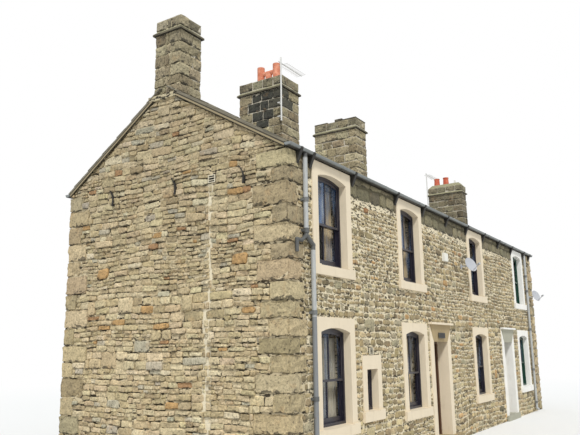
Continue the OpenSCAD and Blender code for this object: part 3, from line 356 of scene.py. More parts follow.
def ironFinish(name, base, worn, rough, share, rim=None):
    # painted cast iron; the gutters carry a painted highlight in a paler band along their rims
    f = Finish(name)
    grain, patch = f.noise(80.0), f.noise(9.0, 4.0, 0.7)
    color = f.blend(f.band(patch, 0.56, 0.70) * share, f.shade(base, 0.86 + grain * 0.28), worn)
    if rim:
        # painted highlight: paler colour in the top few centimetres of the gutter
        top = f.z + (f.y > 0.0) * (layout["eaves"] - layout["rearEaves"])
        top = top - (layout["eaves"] + layout["gutterRim"])
        color = f.blend(f.band(top + patch * 0.012, -0.046, -0.030), color, f.shade(rim, 0.8 + patch * 0.4))
    return f.close(color, rough + patch * 0.2, grain * 0.0016 + patch * 0.001, 0.8)


pipes = dict(collars=(4.285, 2.55, 1.275, 0.26, 3.795), collarHigh=0.07, joint=2.52, elbow=(3.55, 3.87),
             stub=3.40, outlet=(4.98, 5.02), nearTo=1.0, stubTo=0.40)


def pipeFinish(name):
    # grey painted downpipes with darker collars and old black paint at the bend
    f, p = Finish(name), pipes
    patch = f.noise(12.0, 4.0, 0.7)
    streak = f.noise(20.0, stretch=(3.0, 3.0, 0.3))
    near = f.x < corner[0] + p["nearTo"]
    color = f.blend(f.band(streak, 0.45, 0.75) * 0.5, tone(172, 174, 172), tone(132, 134, 132))
    color = f.blend((f.z < p["joint"]) * near * 0.8, color, tone(104, 107, 110))      # darker below its joint
    elbow = f.between(f.z, *p["elbow"]) * near * 0.9
    stub = f.between(f.z, p["stub"], p["elbow"][1]) * (f.x < corner[0] + p["stubTo"]) * 0.95
    dark = f.math("MAXIMUM", f.math("MAXIMUM", elbow, stub), f.band(f.z, *p["outlet"]))
    for foot in p["collars"]:
        dark = f.math("MAXIMUM", dark, f.between(f.z, foot, foot + p["collarHigh"]) * 0.75)
    color = f.blend(dark, color, f.shade(tone(70, 71, 69), 0.7 + patch * 0.6))
    color = f.blend(f.band(patch, 0.62, 0.72) * 0.35, color, tone(120, 92, 66))
    return f.close(color, 0.45 + patch * 0.2, patch * 0.0015, 0.8)


def clayFinish(name, base, pale):
    # fired clay with the faint rings of its turning
    f = Finish(name)
    grain, patch = f.noise(60.0, 4.0), f.noise(8.0, 4.0, 0.65)
    color = f.shade(f.blend(f.band(patch, 0.35, 0.7), base, pale), 0.88 + grain * 0.24)
    rings = f.noise(3.0, 2.0, stretch=(0.3, 0.3, 22.0))
    return f.close(color, 0.7 + grain * 0.15, grain * 0.0015 + rings * 0.002, 0.9)


def metalFinish(name, base, rough, metallic):
    # bare or painted sheet and rod, dulled in patches and lightly scratched
    f = Finish(name)
    patch, scratch = f.noise(26.0, 4.0, 0.7), f.noise(90.0, 2.0, stretch=(0.2, 1.0, 1.0))
    color = f.blend(f.band(patch, 0.6, 0.75) * 0.35, f.shade(base, 0.84 + patch * 0.26), tone(112, 108, 98))
    return f.close(color, rough + scratch * 0.15, scratch * 0.0006, 0.6, Metallic=metallic)


fittings = dict(boxFrom=6.5, ventTo=1.0, slotFrom=0.003, faceFrom=-0.012, slotShade=(20, 18, 15))


def fittingFinish(name):
    # ivory wall box; pale vents with painted shade in the slots behind their faces
    f, slotFrom = Finish(name), fittings["slotFrom"]
    grain = f.noise(50.0, 4.0)
    box = (f.x > corner[0] + fittings["boxFrom"]) * 1.0
    deep = (1.0 - box) * (f.y > corner[1] + slotFrom) * (f.x > corner[0] + slotFrom)
    stain = f.band(f.noise(12.0, 4.0, stretch=(3.0, 3.0, 0.5)), 0.5, 0.75) * 0.3
    color = f.blend(stain, f.blend(box, tone(206, 198, 176), tone(232, 230, 220)), tone(150, 142, 120))
    # painted shade inside the slots
    color = f.blend(deep, color, tone(22, 20, 17))
    return f.close(f.shade(color, 0.9 + grain * 0.16), 0.5 + grain * 0.2, grain * 0.0015, 0.8)


def ventFaceFinish(name):
    # pale vent faces, with painted shade inside the slots
    f, slotShadeTone = Finish(name), tone(*fittings["slotShade"])
    grain = f.noise(60.0)
    faceFrom, ventTo = fittings["faceFrom"], corner[0] + fittings["ventTo"]
    behind = f.y > corner[1] + faceFrom
    deep = (f.x > corner[0] + faceFrom) * behind * (f.x < ventTo)
    color = f.blend(f.band(grain, 0.4, 0.7), tone(214, 206, 184), tone(190, 181, 156))
    # painted shade in the slots, and behind the face beyond the gable vent
    color = f.blend(deep, color, slotShadeTone)
    color = f.blend(behind * (f.x > ventTo), color, slotShadeTone)
    return f.close(color, 0.8, grain * 0.002, 0.8)


def plateFinish(name):
    # painted slate in the tints of its points
    f = Finish(name)
    grain = f.noise(60.0, 4.0)
    return f.close(f.shade(f.tint(), 0.84 + grain * 0.32), 0.6 + grain * 0.2, grain * 0.001, 0.8)


def boardFinish(name, base, pale, across):
    # boards with a fine grain; across is the stretch of the grain's noise
    f = Finish(name)
    grain = f.noise(34.0, 4.0, 0.6, stretch=across)
    knots = f.band(f.noise(7.0, 2.0), 0.66, 0.74)
    color = f.blend(knots * 0.5, f.blend(f.band(grain, 0.3, 0.7), base, pale), f.shade(base, 0.6))
    return f.close(color, 0.55 + grain * 0.2, grain * 0.002, 0.8)


def clothFinish(name, base, deep, threads=520.0):
    # curtain cloth with its weave, lightly soiled
    f = Finish(name)
    spot = f.add("ShaderNodeUVMap", dict(uv_map="cloth"), {})
    ways = [dict(wave_type="BANDS", bands_direction=way) for way in "XY"]
    weave, weft = (f.add("ShaderNodeTexWave", way, {0: spot, 1: threads}) for way in ways)
    thread = weave * 0.5 + weft * 0.5
    color = f.shade(f.blend(f.band(f.noise(5.0), 0.3, 0.75), base, deep), 0.86 + thread * 0.2)
    return f.close(color, 0.85, thread * 0.0006, 0.6, Sheen_Weight=0.2)


print("finishes")
brownPaint, darkPaint, whitePaint = tone(84, 58, 40), tone(64, 50, 40), tone(226, 224, 214)
finishes = dict(
    gable=stoneFinish("gable rubble", 1.5, 1.6, 0.24, lit=0.18, darkerAbove=(2.8, 6.4, 0.80)),
    quoin=stoneFinish("quoin stone", 1.5, 1.5, 0.34),
    front=stoneFinish("front rubble", 1.5, 2.6, 0.22, lit=0.14, darkerAbove=(2.6, 3.6, 0.90)),
    stack=stoneFinish("stack stone", 2.1, 2.2, 0.75, lit=0.34, moss=0.12, soot=(0.5, 7.2, 8.0)),
    nearMortar=mortarFinish("gable joints", tone(200, 185, 152), tone(56, 48, 34), 0.36, crack=True),
    frontMortar=mortarFinish("front pointing", tone(225, 212, 181), tone(66, 58, 42), 0.31, 4.70, fine=2.0),
    rearMortar=mortarFinish("rear pointing", tone(206, 196, 168), tone(110, 100, 76), 0.4),
    stackMortar=mortarFinish("stack joints", tone(186, 174, 142), tone(40, 36, 28), 0.42),
    drip=slabFinish("drip stone"),
    surround=surroundFinish("painted surround"), block=doorStoneFinish("bare head block"),
    sash=paintFinish("sash paint", tone(25, 22, 36), tone(14, 58, 43), 0.44),
    doorOne=paintFinish("brown door paint", brownPaint, brownPaint, 0.4),
    doorTwo=paintFinish("white door paint", whitePaint, whitePaint, 0.4),
    leafTwo=paintFinish("far door paint", darkPaint, darkPaint, 0.4),
    glass=glassFinish("window glass"), roof=slateFinish("roof slab", True), slate=slateFinish("stone slate"),
    iron=ironFinish("gutter iron", tone(50, 49, 45), tone(84, 80, 68), 0.45, 0.5, rim=tone(126, 130, 128)),
    bracket=ironFinish("bracket iron", tone(38, 36, 32), tone(92, 84, 68), 0.55, 0.3),
    pipe=pipeFinish("pipe paint"),
    clay=clayFinish("salmon clay", tone(196, 116, 86), tone(226, 156, 126)),
    redClay=clayFinish("red clay", tone(186, 84, 58), tone(204, 116, 88)),
    mast=metalFinish("aerial metal", tone(206, 206, 202), 0.38, 0.6),
    dish=metalFinish("dish paint", tone(176, 178, 182), 0.45, 0.0),
    vent=metalFinish("white pipe", tone(226, 224, 216), 0.4, 0.0),
    brass=metalFinish("curtain rod", tone(150, 122, 70), 0.35, 0.8),
    fitting=fittingFinish("wall fittings"), ventFace=ventFaceFinish("vent face"),
    plate=plateFinish("number plate"),
    boards=boardFinish("floor boards", tone(148, 112, 72), tone(182, 146, 100), (1.0, 8.0, 8.0)),
    tanCloth=clothFinish("tan curtain", tone(228, 206, 164), tone(210, 186, 144)),
    brownCloth=clothFinish("brown curtain", tone(168, 134, 92), tone(146, 112, 74)),
    paleCloth=clothFinish("pale curtain", tone(206, 198, 178), tone(184, 174, 150)))

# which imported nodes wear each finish
dressing = dict(
    nearMortar="near_gable_wall far_gable_wall",
    frontMortar="front_wall_near front_wall_middle front_wall_far wall_over_door_1 wall_over_door_2",
    rearMortar="rear_wall_near rear_wall_far chimney_breasts ground_floor",
    surround="window_lintels window_jambs window_sills door_jambs door_hoods",
    stackMortar="chimney_stack_1 chimney_stack_2 chimney_stack_3 chimney_stack_4 stack_caps",
    block="door_heads door_steps", drip="stack_drip_slabs stack_toppings", sash="window_frames window_sashes",
    glass="window_glass", doorOne="door_frame_1 front_door_1", doorTwo="door_frame_2", leafTwo="front_door_2",
    clay="two_tube_pot", redClay="plain_pots", vent="vent_pipe", roof="roof_front roof_rear ridge_tiles",
    iron="gutters", bracket="gutter_brackets", pipe="downpipes", mast="aerials", dish="satellite_dishes",
    fitting="wall_fittings", boards="upper_floor")
for finish, nodes in dressing.items():
    for node in nodes.split():
        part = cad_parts[node]
        if not part.material_slots:
            part.data.materials.append(finishes[finish])
        for held in part.material_slots:
            held.material = finishes[finish]


def addPiece(name, mesh, body="house"):
    # makes a mesh a piece that rides on a body of the frame
    piece = bpy.data.objects.new(name, mesh)
    scene.collection.objects.link(piece)
    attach(piece, body)
    return piece


def buildPiece(name, points, faceSets, finish, body="house", tints=None, smooth=True, uv=None):
    # points in metres, faces as arrays of corner numbers, one array for each count of corners
    mesh = bpy.data.meshes.new(name)
    points = np.asarray(points, np.float64).reshape(-1, 3)
    faceSets = [np.asarray(faces) for faces in faceSets]
    counts = np.concatenate([np.full(len(faces), faces.shape[1]) for faces in faceSets])
    corners = np.concatenate([faces.ravel() for faces in faceSets])
    mesh.vertices.add(len(points))
    mesh.vertices.foreach_set("co", points.ravel())
    mesh.loops.add(len(corners))
    mesh.loops.foreach_set("vertex_index", corners)
    mesh.polygons.add(len(counts))
    mesh.polygons.foreach_set("loop_start", np.concatenate([[0], np.cumsum(counts)[:-1]]))
    mesh.polygons.foreach_set("use_smooth", np.full(len(counts), smooth))
    mesh.update(calc_edges=True)
    mesh.validate()
    if tints is not None:
        rgba = np.ones((len(points), 4))
        rgba[:, :np.shape(tints)[1]] = tints
        mesh.color_attributes.new("tint", "FLOAT_COLOR", "POINT").data.foreach_set("color", rgba.ravel())
    if uv is not None:
        mesh.uv_layers.new(name="cloth").data.foreach_set("uv", np.asarray(uv)[corners].ravel())
    mesh.materials.append(finishes[finish])
    return addPiece(name, mesh, body)


class Form:
    # a piece built up from closed parts
    def __init__(self):
        self.points, self.faces = [], []

    # joins closed rings of places one after another and closes both ends
    # with strip, a ring goes out and comes back beside itself, and a strip of four-sided faces closes it
    def loft(self, rings, strip=False):
        first, sides = len(self.points), len(rings[0])
        last = first + (len(rings) - 1) * sides
        self.points.extend(tuple(spot) for ring in rings for spot in ring)
        for start in range(first, last, sides):
            for i in range(sides):
                a, b = start + i, start + (i + 1) % sides
                self.faces.append([a, b, b + sides, a + sides])
        loops = [range(sides)]
        if strip:
            loops = [(k, k + 1, sides - 2 - k, sides - 1 - k) for k in range(sides // 2 - 1)]
        for loop in loops:
            self.faces.append([first + k for k in reversed(loop)])
            self.faces.append([last + k for k in loop])

    # a round bar between two places
    def tube(self, start, end, radius, sides=10):
        axis = (end - start).normalized()
        side = axis.orthogonal().normalized()
        up = axis.cross(side)
        turns = [2 * math.pi * i / sides for i in range(sides)]
        self.loft([[base + radius * (math.cos(turn) * side + math.sin(turn) * up) for turn in turns]
                   for base in (start, end)])

    # a stepped panel on a face at y: rings of four corners, each with its inset and its height over the face
    def panel(self, x0, x1, z0, z1, y, rings):
        spots = ((x0, 1, z0, 1), (x1, -1, z0, 1), (x1, -1, z1, -1), (x0, 1, z1, -1))
        self.loft([[place(x + right * inset, y - out, z + up * inset) for x, right, z, up in spots]
                   for inset, out in rings])

    # makes the piece, with every face turned outwards
    def build(self, name, finish, slot, body="house", tints=None):
        counts = sorted({len(face) for face in self.faces})
        faceSets = [[face for face in self.faces if len(face) == count] for count in counts]
        piece = buildPiece(name, self.points, faceSets, finish, body, tints, smooth=False)
        work = bmesh.new()
        work.from_mesh(piece.data)
        bmesh.ops.recalc_face_normals(work, faces=work.faces)
        work.to_mesh(piece.data)
        work.free()
        return piece


def paletteColors(palette, count, draw, spread):
    # a tint for each of count stones, from weighted tones
    weights = np.array([entry[3] for entry in palette], float)
    base = np.array([tintOf(entry[:3]) for entry in palette])
    pick = draw.choice(len(palette), size=count, p=weights / weights.sum())
    lift = 1 + draw.normal(0, spread, (count, 1))
    return base[pick] * lift * (1 + draw.normal(0, 0.015, (count, 3)))


def layRow(cells, start, end, foot, head, widths, least, draw):
    # stones side by side from start to end, with none narrower than least at the end
    while start < end - 1e-6:
        wide = draw.uniform(*widths)
        if end - (start + wide) < least:
            wide = end - start
        cells.append((start, start + wide, foot, head))
        start += wide


def layRubble(length, top, style, draw):
    # rough courses: single tall stones, or runs of thinner rows; squared blocks under the eaves
    cells, low = [], 0.0
    eaves, lower = style.get("eaves"), style.get("lower")
    while low < top:
        tall = draw.uniform(*style["band"])
        if eaves and low + tall > eaves["foot"] - 0.05:
            tall = eaves["foot"] - low
        near = lower if lower and low < lower["below"] else style
        u = 0.0
        while u < length - 1e-6:
            rows = draw.choice(len(near["rows"]), p=near["rows"]) + 1
            run = draw.uniform(*style["single"]) if rows == 1 else draw.uniform(*style["run"])
            if length - (u + run) < style["single"][0]:
                run = length - u
            parts = draw.uniform(0.75, 1.25, rows)
            cuts = low + tall * np.concatenate([[0], np.cumsum(parts) / parts.sum()])
            for foot, head in zip(cuts[:-1], cuts[1:]):
                mean = near["stretch"] * (head - foot)
                layRow(cells, u, u + run, foot, head, (0.55 * mean, 1.5 * mean), 0.55 * mean, draw)
            u += run
        low += tall
        if eaves and low > eaves["foot"] - 0.001:
            for row in eaves["heights"]:
                layRow(cells, 0.0, length, low, low + row, eaves["lengths"], 0.2, draw)
                low += row
            break
    return cells


# how stones fit beside dressed blocks, the wall's sides and its top, and the smallest ones that are laid
# level: how far from a dressed block the courses stay level
laying = dict(slack=0.004, sideGap=0.003, topGap=0.006, leastPart=0.05, leastStone=0.035, leastHalf=0.012,
              setIn=0.012, level=0.3)


def cutAround(cells, blocks):
    # takes the openings and dressed stones out of the rubble
    slack, least = laying["slack"], laying["leastPart"]
    for left, right, foot, head in blocks:
        kept = []
        for a, b, c, d in cells:
            if a >= right - slack or b <= left + slack or c >= head - slack or d <= foot + slack:
                kept.append((a, b, c, d))
                continue
            inner = (max(a, left), min(b, right))
            for part in ((a, left, c, d), (right, b, c, d), (*inner, c, foot), (*inner, head, d)):
                if part[1] - part[0] > least and part[3] - part[2] > least:
                    kept.append(part)
        cells = kept
    return cells


def pushOut(u, v, blocks):
    # moves points that lie inside a block out over its nearest side
    margin = laying["slack"]
    for left, right, foot, head in blocks:
        left, right, foot, head = left - margin, right + margin, foot - margin, head + margin
        inside = (u > left) & (u < right) & (v > foot) & (v < head)
        side = np.stack([u - left, right - u, v - foot, head - v]).argmin(0)
        for number, (line, edge) in enumerate(((u, left), (u, right), (v, foot), (v, head))):
            line[inside & (side == number)] = edge


def stoneOutlines(cells, style, blocks, draw):
    # the ragged outline of each stone in the plane of its wall
    n, k = len(cells), style["corners"]
    gaps = draw.uniform(*style["joint"], (n, 1)) / 2
    openGap = (draw.random((n, 1)) < style["openShare"]) * draw.uniform(*style["openGap"], (n, 1)) / 2
    halfU = np.maximum((cells[:, 1] - cells[:, 0])[:, None] / 2 - gaps, laying["leastHalf"])
    halfV = np.maximum((cells[:, 3] - cells[:, 2])[:, None] / 2 - gaps - openGap, laying["leastHalf"])
    midU, midV = cells[:, :2].mean(1)[:, None], cells[:, 2:].mean(1)[:, None] + openGap
    skew = np.minimum(style["skew"], 0.28 * np.minimum(halfU, halfV))
    turn = (np.arange(k) + 0.5) / k * 2 * np.pi + draw.uniform(-0.12, 0.12, (n, k))
    power = draw.uniform(*style["square"], (n, 1))
    su, sv = (np.sign(way) * np.abs(way) ** power for way in (np.cos(turn), np.sin(turn)))
    u, v = np.zeros((n, k)), np.zeros((n, k))
    for cu, cv in ((-1, -1), (1, -1), (1, 1), (-1, 1)):
        share = (1 + cu * su) * (1 + cv * sv) / 4
        u += share * (cu * halfU + draw.uniform(-1, 1, (n, 1)) * skew)
        v += share * (cv * halfV + draw.uniform(-1, 1, (n, 1)) * skew)
    rough = 1 + draw.normal(0, style["ragged"], (n, k))
    u, v = midU + u * rough, midV + v * rough
    # slow waves bring the courses out of level, but not beside dressed stones
    free = np.ones(u.shape)
    for a, b, c, d in blocks:
        away = np.hypot(np.maximum(np.maximum(a - u, u - b), 0), np.maximum(np.maximum(c - v, v - d), 0))
        free = np.minimum(free, np.clip(away / laying["level"], 0, 1))
    waves = zip(*draw.uniform(0.6, 3.2, (2, 6)), draw.uniform(0, 6, 6))
    return u, v + free * style["sway"] * sum(np.sin(p * u + q * v + r) for p, q, r in waves) / 6


def stoneRings(u, v, style, draw):
    # rings of corners of each stone, from its back over the worn edge to the face, and the middle of the face
    cu, cv = u.mean(1)[:, None], v.mean(1)[:, None]
    reach = np.maximum(np.hypot(u - cu, v - cv), 1e-4)
    flat, full = style["proud"]
    proud = flat + (full - flat) * draw.random((len(u), 1)) ** style["flush"]
    lean = draw.uniform(-1, 1, (2, len(u), 1)) * style["lean"]
    lean[1] -= style["overhang"]
    rings = [(u, v, np.full(u.shape, -laying["setIn"]))]
    bands = [(np.clip(1 - inset / reach, 0.25, 1), depth, style["chip"])
             for inset, depth in zip(style["arris"], (0.6, 1.0))]
    if style["face"]:
        bands.append((0.5, 1.0, style["face"]))
    for share, depth, rough in bands:
        ru, rv = cu + (u - cu) * share, cv + (v - cv) * share
        out = proud * depth * (1 + lean[0] * (ru - cu) / 0.1 + lean[1] * (rv - cv) / 0.1)
        rings.append((ru, rv, np.clip(out + draw.normal(0, rough, ru.shape), 0.002, full * 1.2)))
    rings.append((cu, cv, proud * draw.uniform(0.92, 1.15, (len(u), 1))))
    return [np.concatenate(parts, 1) for parts in zip(*rings)]


def stoneTints(cells, u, v, vs, style, notable, draw):
    # each stone's tone, with painted shade at its back and its edge; alpha is the height in the stone
    (n, k), size = u.shape, vs.shape[1]
    colors = paletteColors(style["palette"], n, draw, style["spread"])
    eaves = style.get("eaves")
    # stones in the eaves band take darker tones: the gutter's painted shadow
    if eaves:
        under = cells[:, 2] > eaves["foot"] - 0.01
        colors[under] = paletteColors(eaves["palette"], int(under.sum()), draw, 0.1)
    for spotU, spotV, color in notable:
        near = np.hypot(u.mean(1) - spotU, (v.mean(1) - spotV) * 1.6).argmin()
        colors[near] = tintOf(color) * draw.uniform(0.92, 1.08)
    # painted shade: the back ring, and by the style's edge the worn edge ring, are darker
    shares = np.concatenate([np.full(k, 0.74), np.full(k, style["edge"]), np.ones(size - 2 * k)])
    foot = v.min(1)[:, None]
    tints = np.zeros((n, size, 4))
    tints[..., :3] = colors[:, None, :] * shares[None, :, None]
    tints[..., 3] = np.clip((vs - foot) / (v.max(1)[:, None] - foot), 0, 1)
    return tints.reshape(-1, 4)


def rubbleWall(name, wall, style, blocks, seed, span=None, extra=(), notable=()):
    # lays the wall's stones and builds each as a closed, bulging block set into the wall's face
    draw = np.random.default_rng(seed)
    left, right = span or (0.0, wall["length"])
    cells = [(a + left, b + left, c, d) for a, b, c, d in layRubble(right - left, wall["top"], style, draw)]
    cells = np.array(cutAround(cells, [*blocks, *extra]) + list(extra))
    u, v = stoneOutlines(cells, style, blocks, draw)
    pushOut(u, v, blocks)
    u = np.clip(u, left + laying["sideGap"], right - laying["sideGap"])
    v = np.minimum(np.clip(v, laying["slack"], None), wall["line"](u) - laying["topGap"])
    keep = (np.ptp(v, 1) > laying["leastStone"]) & (np.ptp(u, 1) > laying["leastStone"])
    u, v, cells = u[keep], v[keep], cells[keep]
    us, vs, outs = stoneRings(u, v, style, draw)
    n, k, size = *u.shape, us.shape[1]
    start, along, outward = (np.array((*wall[key], 0.0)) for key in ("start", "along", "out"))
    points = corner + start + along * us[..., None] + outward * outs[..., None]
    points[..., 2] = vs
    ring = np.arange(k)
    after, last = (ring + 1) % k, size - 1 - k
    quads = np.concatenate([np.stack([ring + lo, after + lo, after + lo + k, ring + lo + k], 1)
                            for lo in range(0, last, k)])
    tips = np.stack([ring + last, after + last, np.full(k, size - 1)], 1)
    back = ring[::-1][None, :]
    if along[0] * outward[1] - along[1] * outward[0] > 0:       # keeps the faces outwards on every wall
        quads, tips, back = quads[:, ::-1], tips[:, ::-1], back[:, ::-1]
    base = (np.arange(n) * size)[:, None, None]
    faces = [(loops[None] + base).reshape(-1, loops.shape[1]) for loops in (quads, tips, back)]
    tints = stoneTints(cells, u, v, vs, style, notable, draw)
    print("  ", name, n, "stones")
    return buildPiece(name, points, faces, wall["finish"], tints=tints)


def hewnForm(cells):
    # the surface of a block cut into cells along each edge: whole-number corners and outward faces
    spots = [spot for spot in np.ndindex(*[cells + 1] * 3) if {0, cells} & set(spot)]
    index = {spot: number for number, spot in enumerate(spots)}
    quads = []
    for axis, side, m, n in np.ndindex(3, 2, cells, cells):
        loop = []
        for dm, dn in ((0, 0), (1, 0), (1, 1), (0, 1)):
            spot = [m + dm, n + dn]
            spot.insert(axis, side * cells)
            loop.append(index[tuple(spot)])
        quads.append(loop if (side == 1) == (axis != 1) else loop[::-1])
    return np.array(spots), np.array(quads)


def squaredStones(name, boxes, finish, palette, seed, cells=4, bevel=0.014, chip=0.006, bulge=0.006,
                  edge=0.88, undercut=0.02, given=None):
    # boxes: low and high corners of each stone, from the near front corner; given: tones of single stones
    draw = np.random.default_rng(seed)
    spots, quads = hewnForm(cells)
    boxes = np.array(boxes, float)
    n, m = len(boxes), len(spots)
    half, middle = (boxes[:, 1] - boxes[:, 0]) / 2, boxes.mean(1)
    worn = np.minimum(bevel, 0.3 * half.min(1))[:, None]
    steps = np.zeros((n, 3, cells + 1))
    steps[:, :, 1:-1] = np.linspace(-1, 1, cells - 1) * (1 - (worn / half)[:, :, None])
    steps[:, :, 0], steps[:, :, -1] = -1, 1
    share = np.stack([steps[:, axis][:, spots[:, axis]] for axis in range(3)], 2)
    ends = (spots == 0) | (spots == cells)
    signs = np.where(spots == 0, -1, 1) * ends
    count = ends.sum(1)                                      # 1 on a face, 2 on an edge, 3 at a corner
    drawIn = np.array([0.0, 0.45, 0.6])[count - 1] * worn
    crown = np.where((count == 1)[None], bulge * (1 - (np.where(ends, 0, share) ** 2).max(2)), 0.0)
    rough = draw.normal(0, chip, (n, m)) * np.where(count == 1, 1.0, 0.7)
    points = middle[:, None] + share * half[:, None] + signs[None] * (crown + rough - drawIn)[..., None]
    ragged = (spots[:, 2] == 0) & (count > 1)
    bite = undercut * draw.random((n, m, 1)) ** 1.5 * ragged[None, :, None]
    points -= np.where(np.arange(3) < 2, signs[None], 0) * bite
    slide = draw.normal(0, 0.35, (n, m, 3)) * np.minimum(0.02, half[:, None] * 0.2) * ~ends[None]
    points += slide * (count == 1)[None, :, None] * 0.6
    points += np.array([corner[0], corner[1], 0.0])
    points[..., 2] = np.maximum(points[..., 2], 0.001)
    faces = (quads[None] + (np.arange(n) * m)[:, None, None]).reshape(-1, 4)
    colors = paletteColors(palette, n, draw, 0.06)
    for number, color in (given or {}).items():
        colors[number] = tintOf(color)
    tints = np.zeros((n, m, 4))
    # painted shade: edges and corners darker by the edge factor
    tints[..., :3] = colors[:, None, :] * np.where(count == 1, 1.0, edge)[None, :, None]
    tints[..., 3] = (share[..., 2] + 1) / 2
    return buildPiece(name, points, [faces], finish, tints=tints.reshape(-1, 4), smooth=False)


# tones with the share of the stones that have each
gableTones = [(194, 177, 141, 0.44), (203, 187, 151, 0.13), (184, 166, 129, 0.30), (209, 195, 162, 0.03),
              (178, 169, 145, 0.05), (164, 147, 113, 0.05)]
quoinTones = [(174, 157, 122, 0.4), (160, 145, 111, 0.3), (184, 167, 132, 0.2), (164, 152, 121, 0.1)]
frontTones = [(173, 155, 117, 0.36), (190, 173, 134, 0.20), (152, 136, 100, 0.20), (160, 150, 122, 0.10),
              (132, 117, 87, 0.08), (190, 158, 110, 0.03), (118, 108, 82, 0.03)]
# darker tones for the squared stones under the eaves, with the gutter's painted shadow in them
eavesShadowTones = [(120, 112, 86, 0.4), (134, 125, 97, 0.35), (106, 99, 76, 0.25)]
stackTones = [(158, 146, 116, 0.45), (174, 162, 131, 0.25), (140, 128, 100, 0.30)]
capTones = [(158, 148, 120, 0.4), (142, 134, 108, 0.4), (168, 158, 130, 0.2)]
ridgeTones = [(132, 124, 104, 0.5), (116, 108, 90, 0.3), (146, 138, 116, 0.2)]
orange, rust, sand, umber = (180, 145, 96), (164, 128, 90), (200, 158, 104), (150, 112, 74)

# gable vent and air brick: place along the wall, foot, width and height
vents = dict(gable=(1.3795, 4.73, 0.147, 0.13), brick=(2.56, 1.935, 0.15, 0.115), slots=3, proud=0.030,
             rim=0.013, bar=0.010, back=0.006, overlap=0.001, inWall=0.002)


def ventBlock(spot, foot, wide, high):
    return (spot, spot + wide, foot, foot + high)


# rubble: band is the height of a course and rows the chances of one, two or three rows of stones in it;
# single and run are the lengths of a tall stone and of a run of rows, and stretch is a stone's length by its
# height; square runs from 0 for a square outline to 1 for a round one; proud is how far the faces stand out,
# arris where a worn edge starts and ends, and sway how far the courses wander
gable = dict(
    wall=dict(start=(0, 0), along=(0, 1), out=(-1, 0), length=rowDepth, top=6.62, line=underRoof,
              finish="gable"),
    rubble=dict(band=(0.17, 0.28), rows=(0.09, 0.58, 0.33), single=(0.2, 0.42), run=(0.4, 1.2), stretch=2.2,
                corners=12, joint=(0.003, 0.010), openShare=0.26, openGap=(0.005, 0.016), skew=0.016,
                square=(0.18, 0.42), ragged=0.045, sway=0.07, proud=(0.006, 0.044), flush=1.5, lean=0.12,
                overhang=0.10, chip=0.0045, face=0.006, arris=(0.004, 0.013), edge=0.97, palette=gableTones,
                spread=0.035),
    quoinTops=(5.07, 4.786, 4.55, 4.193, 3.903, 3.615, 3.361, 3.036, 2.744, 2.484, 2.213, 1.96, 1.695, 1.41,
               1.13, 0.84, 0.56, 0.28, 0.0),
    rearTops=(4.95, 4.66, 4.36, 4.02, 3.70, 3.42, 3.08, 2.80, 2.47, 2.16, 1.86, 1.58, 1.24, 0.93, 0.62,
              0.30, 0.0),
    longQuoin=0.56, shortQuoin=0.30, proudQuoin=0.018, quoinJoint=0.014, past=0.02,
    stackFoot=(2.20, 2.95, 6.42, 6.7),
    crackStep=0.12, crackSway=0.045, crackWidth=0.006,
    crack=((1.46, 4.72), (1.48, 4.44), (1.51, 3.79), (1.49, 3.46), (1.46, 3.14), (1.50, 2.82), (1.56, 2.67),
           (1.61, 2.44), (1.51, 2.28), (1.59, 2.13), (1.53, 2.02), (1.56, 1.4), (1.5, 0.7)),
    notable=[(2.47, 2.37, orange), (1.95, 5.03, orange), (1.03, 4.96, orange), (0.89, 4.53, orange),
             (0.63, 4.49, rust), (2.34, 3.23, rust), (2.78, 3.83, rust), (4.45, 4.32, orange),
             (0.94, 3.38, orange), (0.67, 2.65, orange), (0.68, 2.99, rust), (1.23, 2.04, orange),
             (3.70, 5.28, rust), (4.25, 4.98, rust), (2.72, 4.03, orange), (3.49, 2.50, orange),
             (3.90, 2.51, orange), (4.06, 2.25, orange), (2.24, 5.70, rust), (2.49, 2.19, rust),
             (2.71, 2.74, orange), (1.95, 1.57, rust), (4.23, 2.70, rust), (3.96, 3.47, orange),
             (1.85, 3.79, orange), (0.94, 3.73, rust), (2.05, 4.05, rust), (2.28, 1.20, orange)])


def quoinBoxes(tops, atX, atY, inX, inY, first):
    # corner stones with a long side on either face in turn, and what each covers on the two walls
    g, joint, boxes, covers = gable, gable["quoinJoint"] / 2, [], []
    for i, (high, low) in enumerate(zip(tops[:-1], tops[1:])):
        alongY = (i + first) % 2 == 0
        lenX, lenY = (g["shortQuoin"], g["longQuoin"]) if alongY else (g["longQuoin"] * 0.8, g["shortQuoin"])
        lenX, lenY = lenX * (1 + 0.1 * math.sin(i * 2.3)), lenY * (1 + 0.12 * math.sin(i * 3.7))
        a, b = sorted((atX - inX * g["proudQuoin"], atX + inX * lenX))
        c, e = sorted((atY - inY * g["proudQuoin"], atY + inY * lenY))
        boxes.append(((a, c, low + joint), (b, e, high - joint)))
        covers.append((lenX, lenY, low, high))
    return boxes, covers


quoins = dict(nearFront=quoinBoxes(gable["quoinTops"], 0, 0, 1, 1, 0),
              nearRear=quoinBoxes(gable["rearTops"], 0, rowDepth, 1, -1, 1),
              farFront=quoinBoxes(gable["quoinTops"], rowLength, 0, -1, 1, 1),
              farRear=quoinBoxes(gable["rearTops"], rowLength, rowDepth, -1, -1, 0))


def quoinBlocks(low, high, axis, length):
    # what the corner stones cover at both ends of a wall; axis is 0 along the row and 1 across it
    past = gable["past"]
    blocks = [(-past, cover[axis], *cover[2:]) for cover in quoins[low][1]]
    return blocks + [(length - cover[axis], length + past, *cover[2:]) for cover in quoins[high][1]]


def crackStrips():
    # narrow strips that keep the stones off the old straight joint
    g, strips, draw = gable, [], np.random.default_rng(8)
    path = np.array(g["crack"])
    for high in np.arange(path[0, 1], path[-1, 1], -g["crackStep"]):
        at = np.interp(-high, -path[:, 1], path[:, 0]) + draw.uniform(-1, 1) * g["crackSway"]
        strips.append((at, at + g["crackWidth"], high - g["crackStep"], high))
    return strips


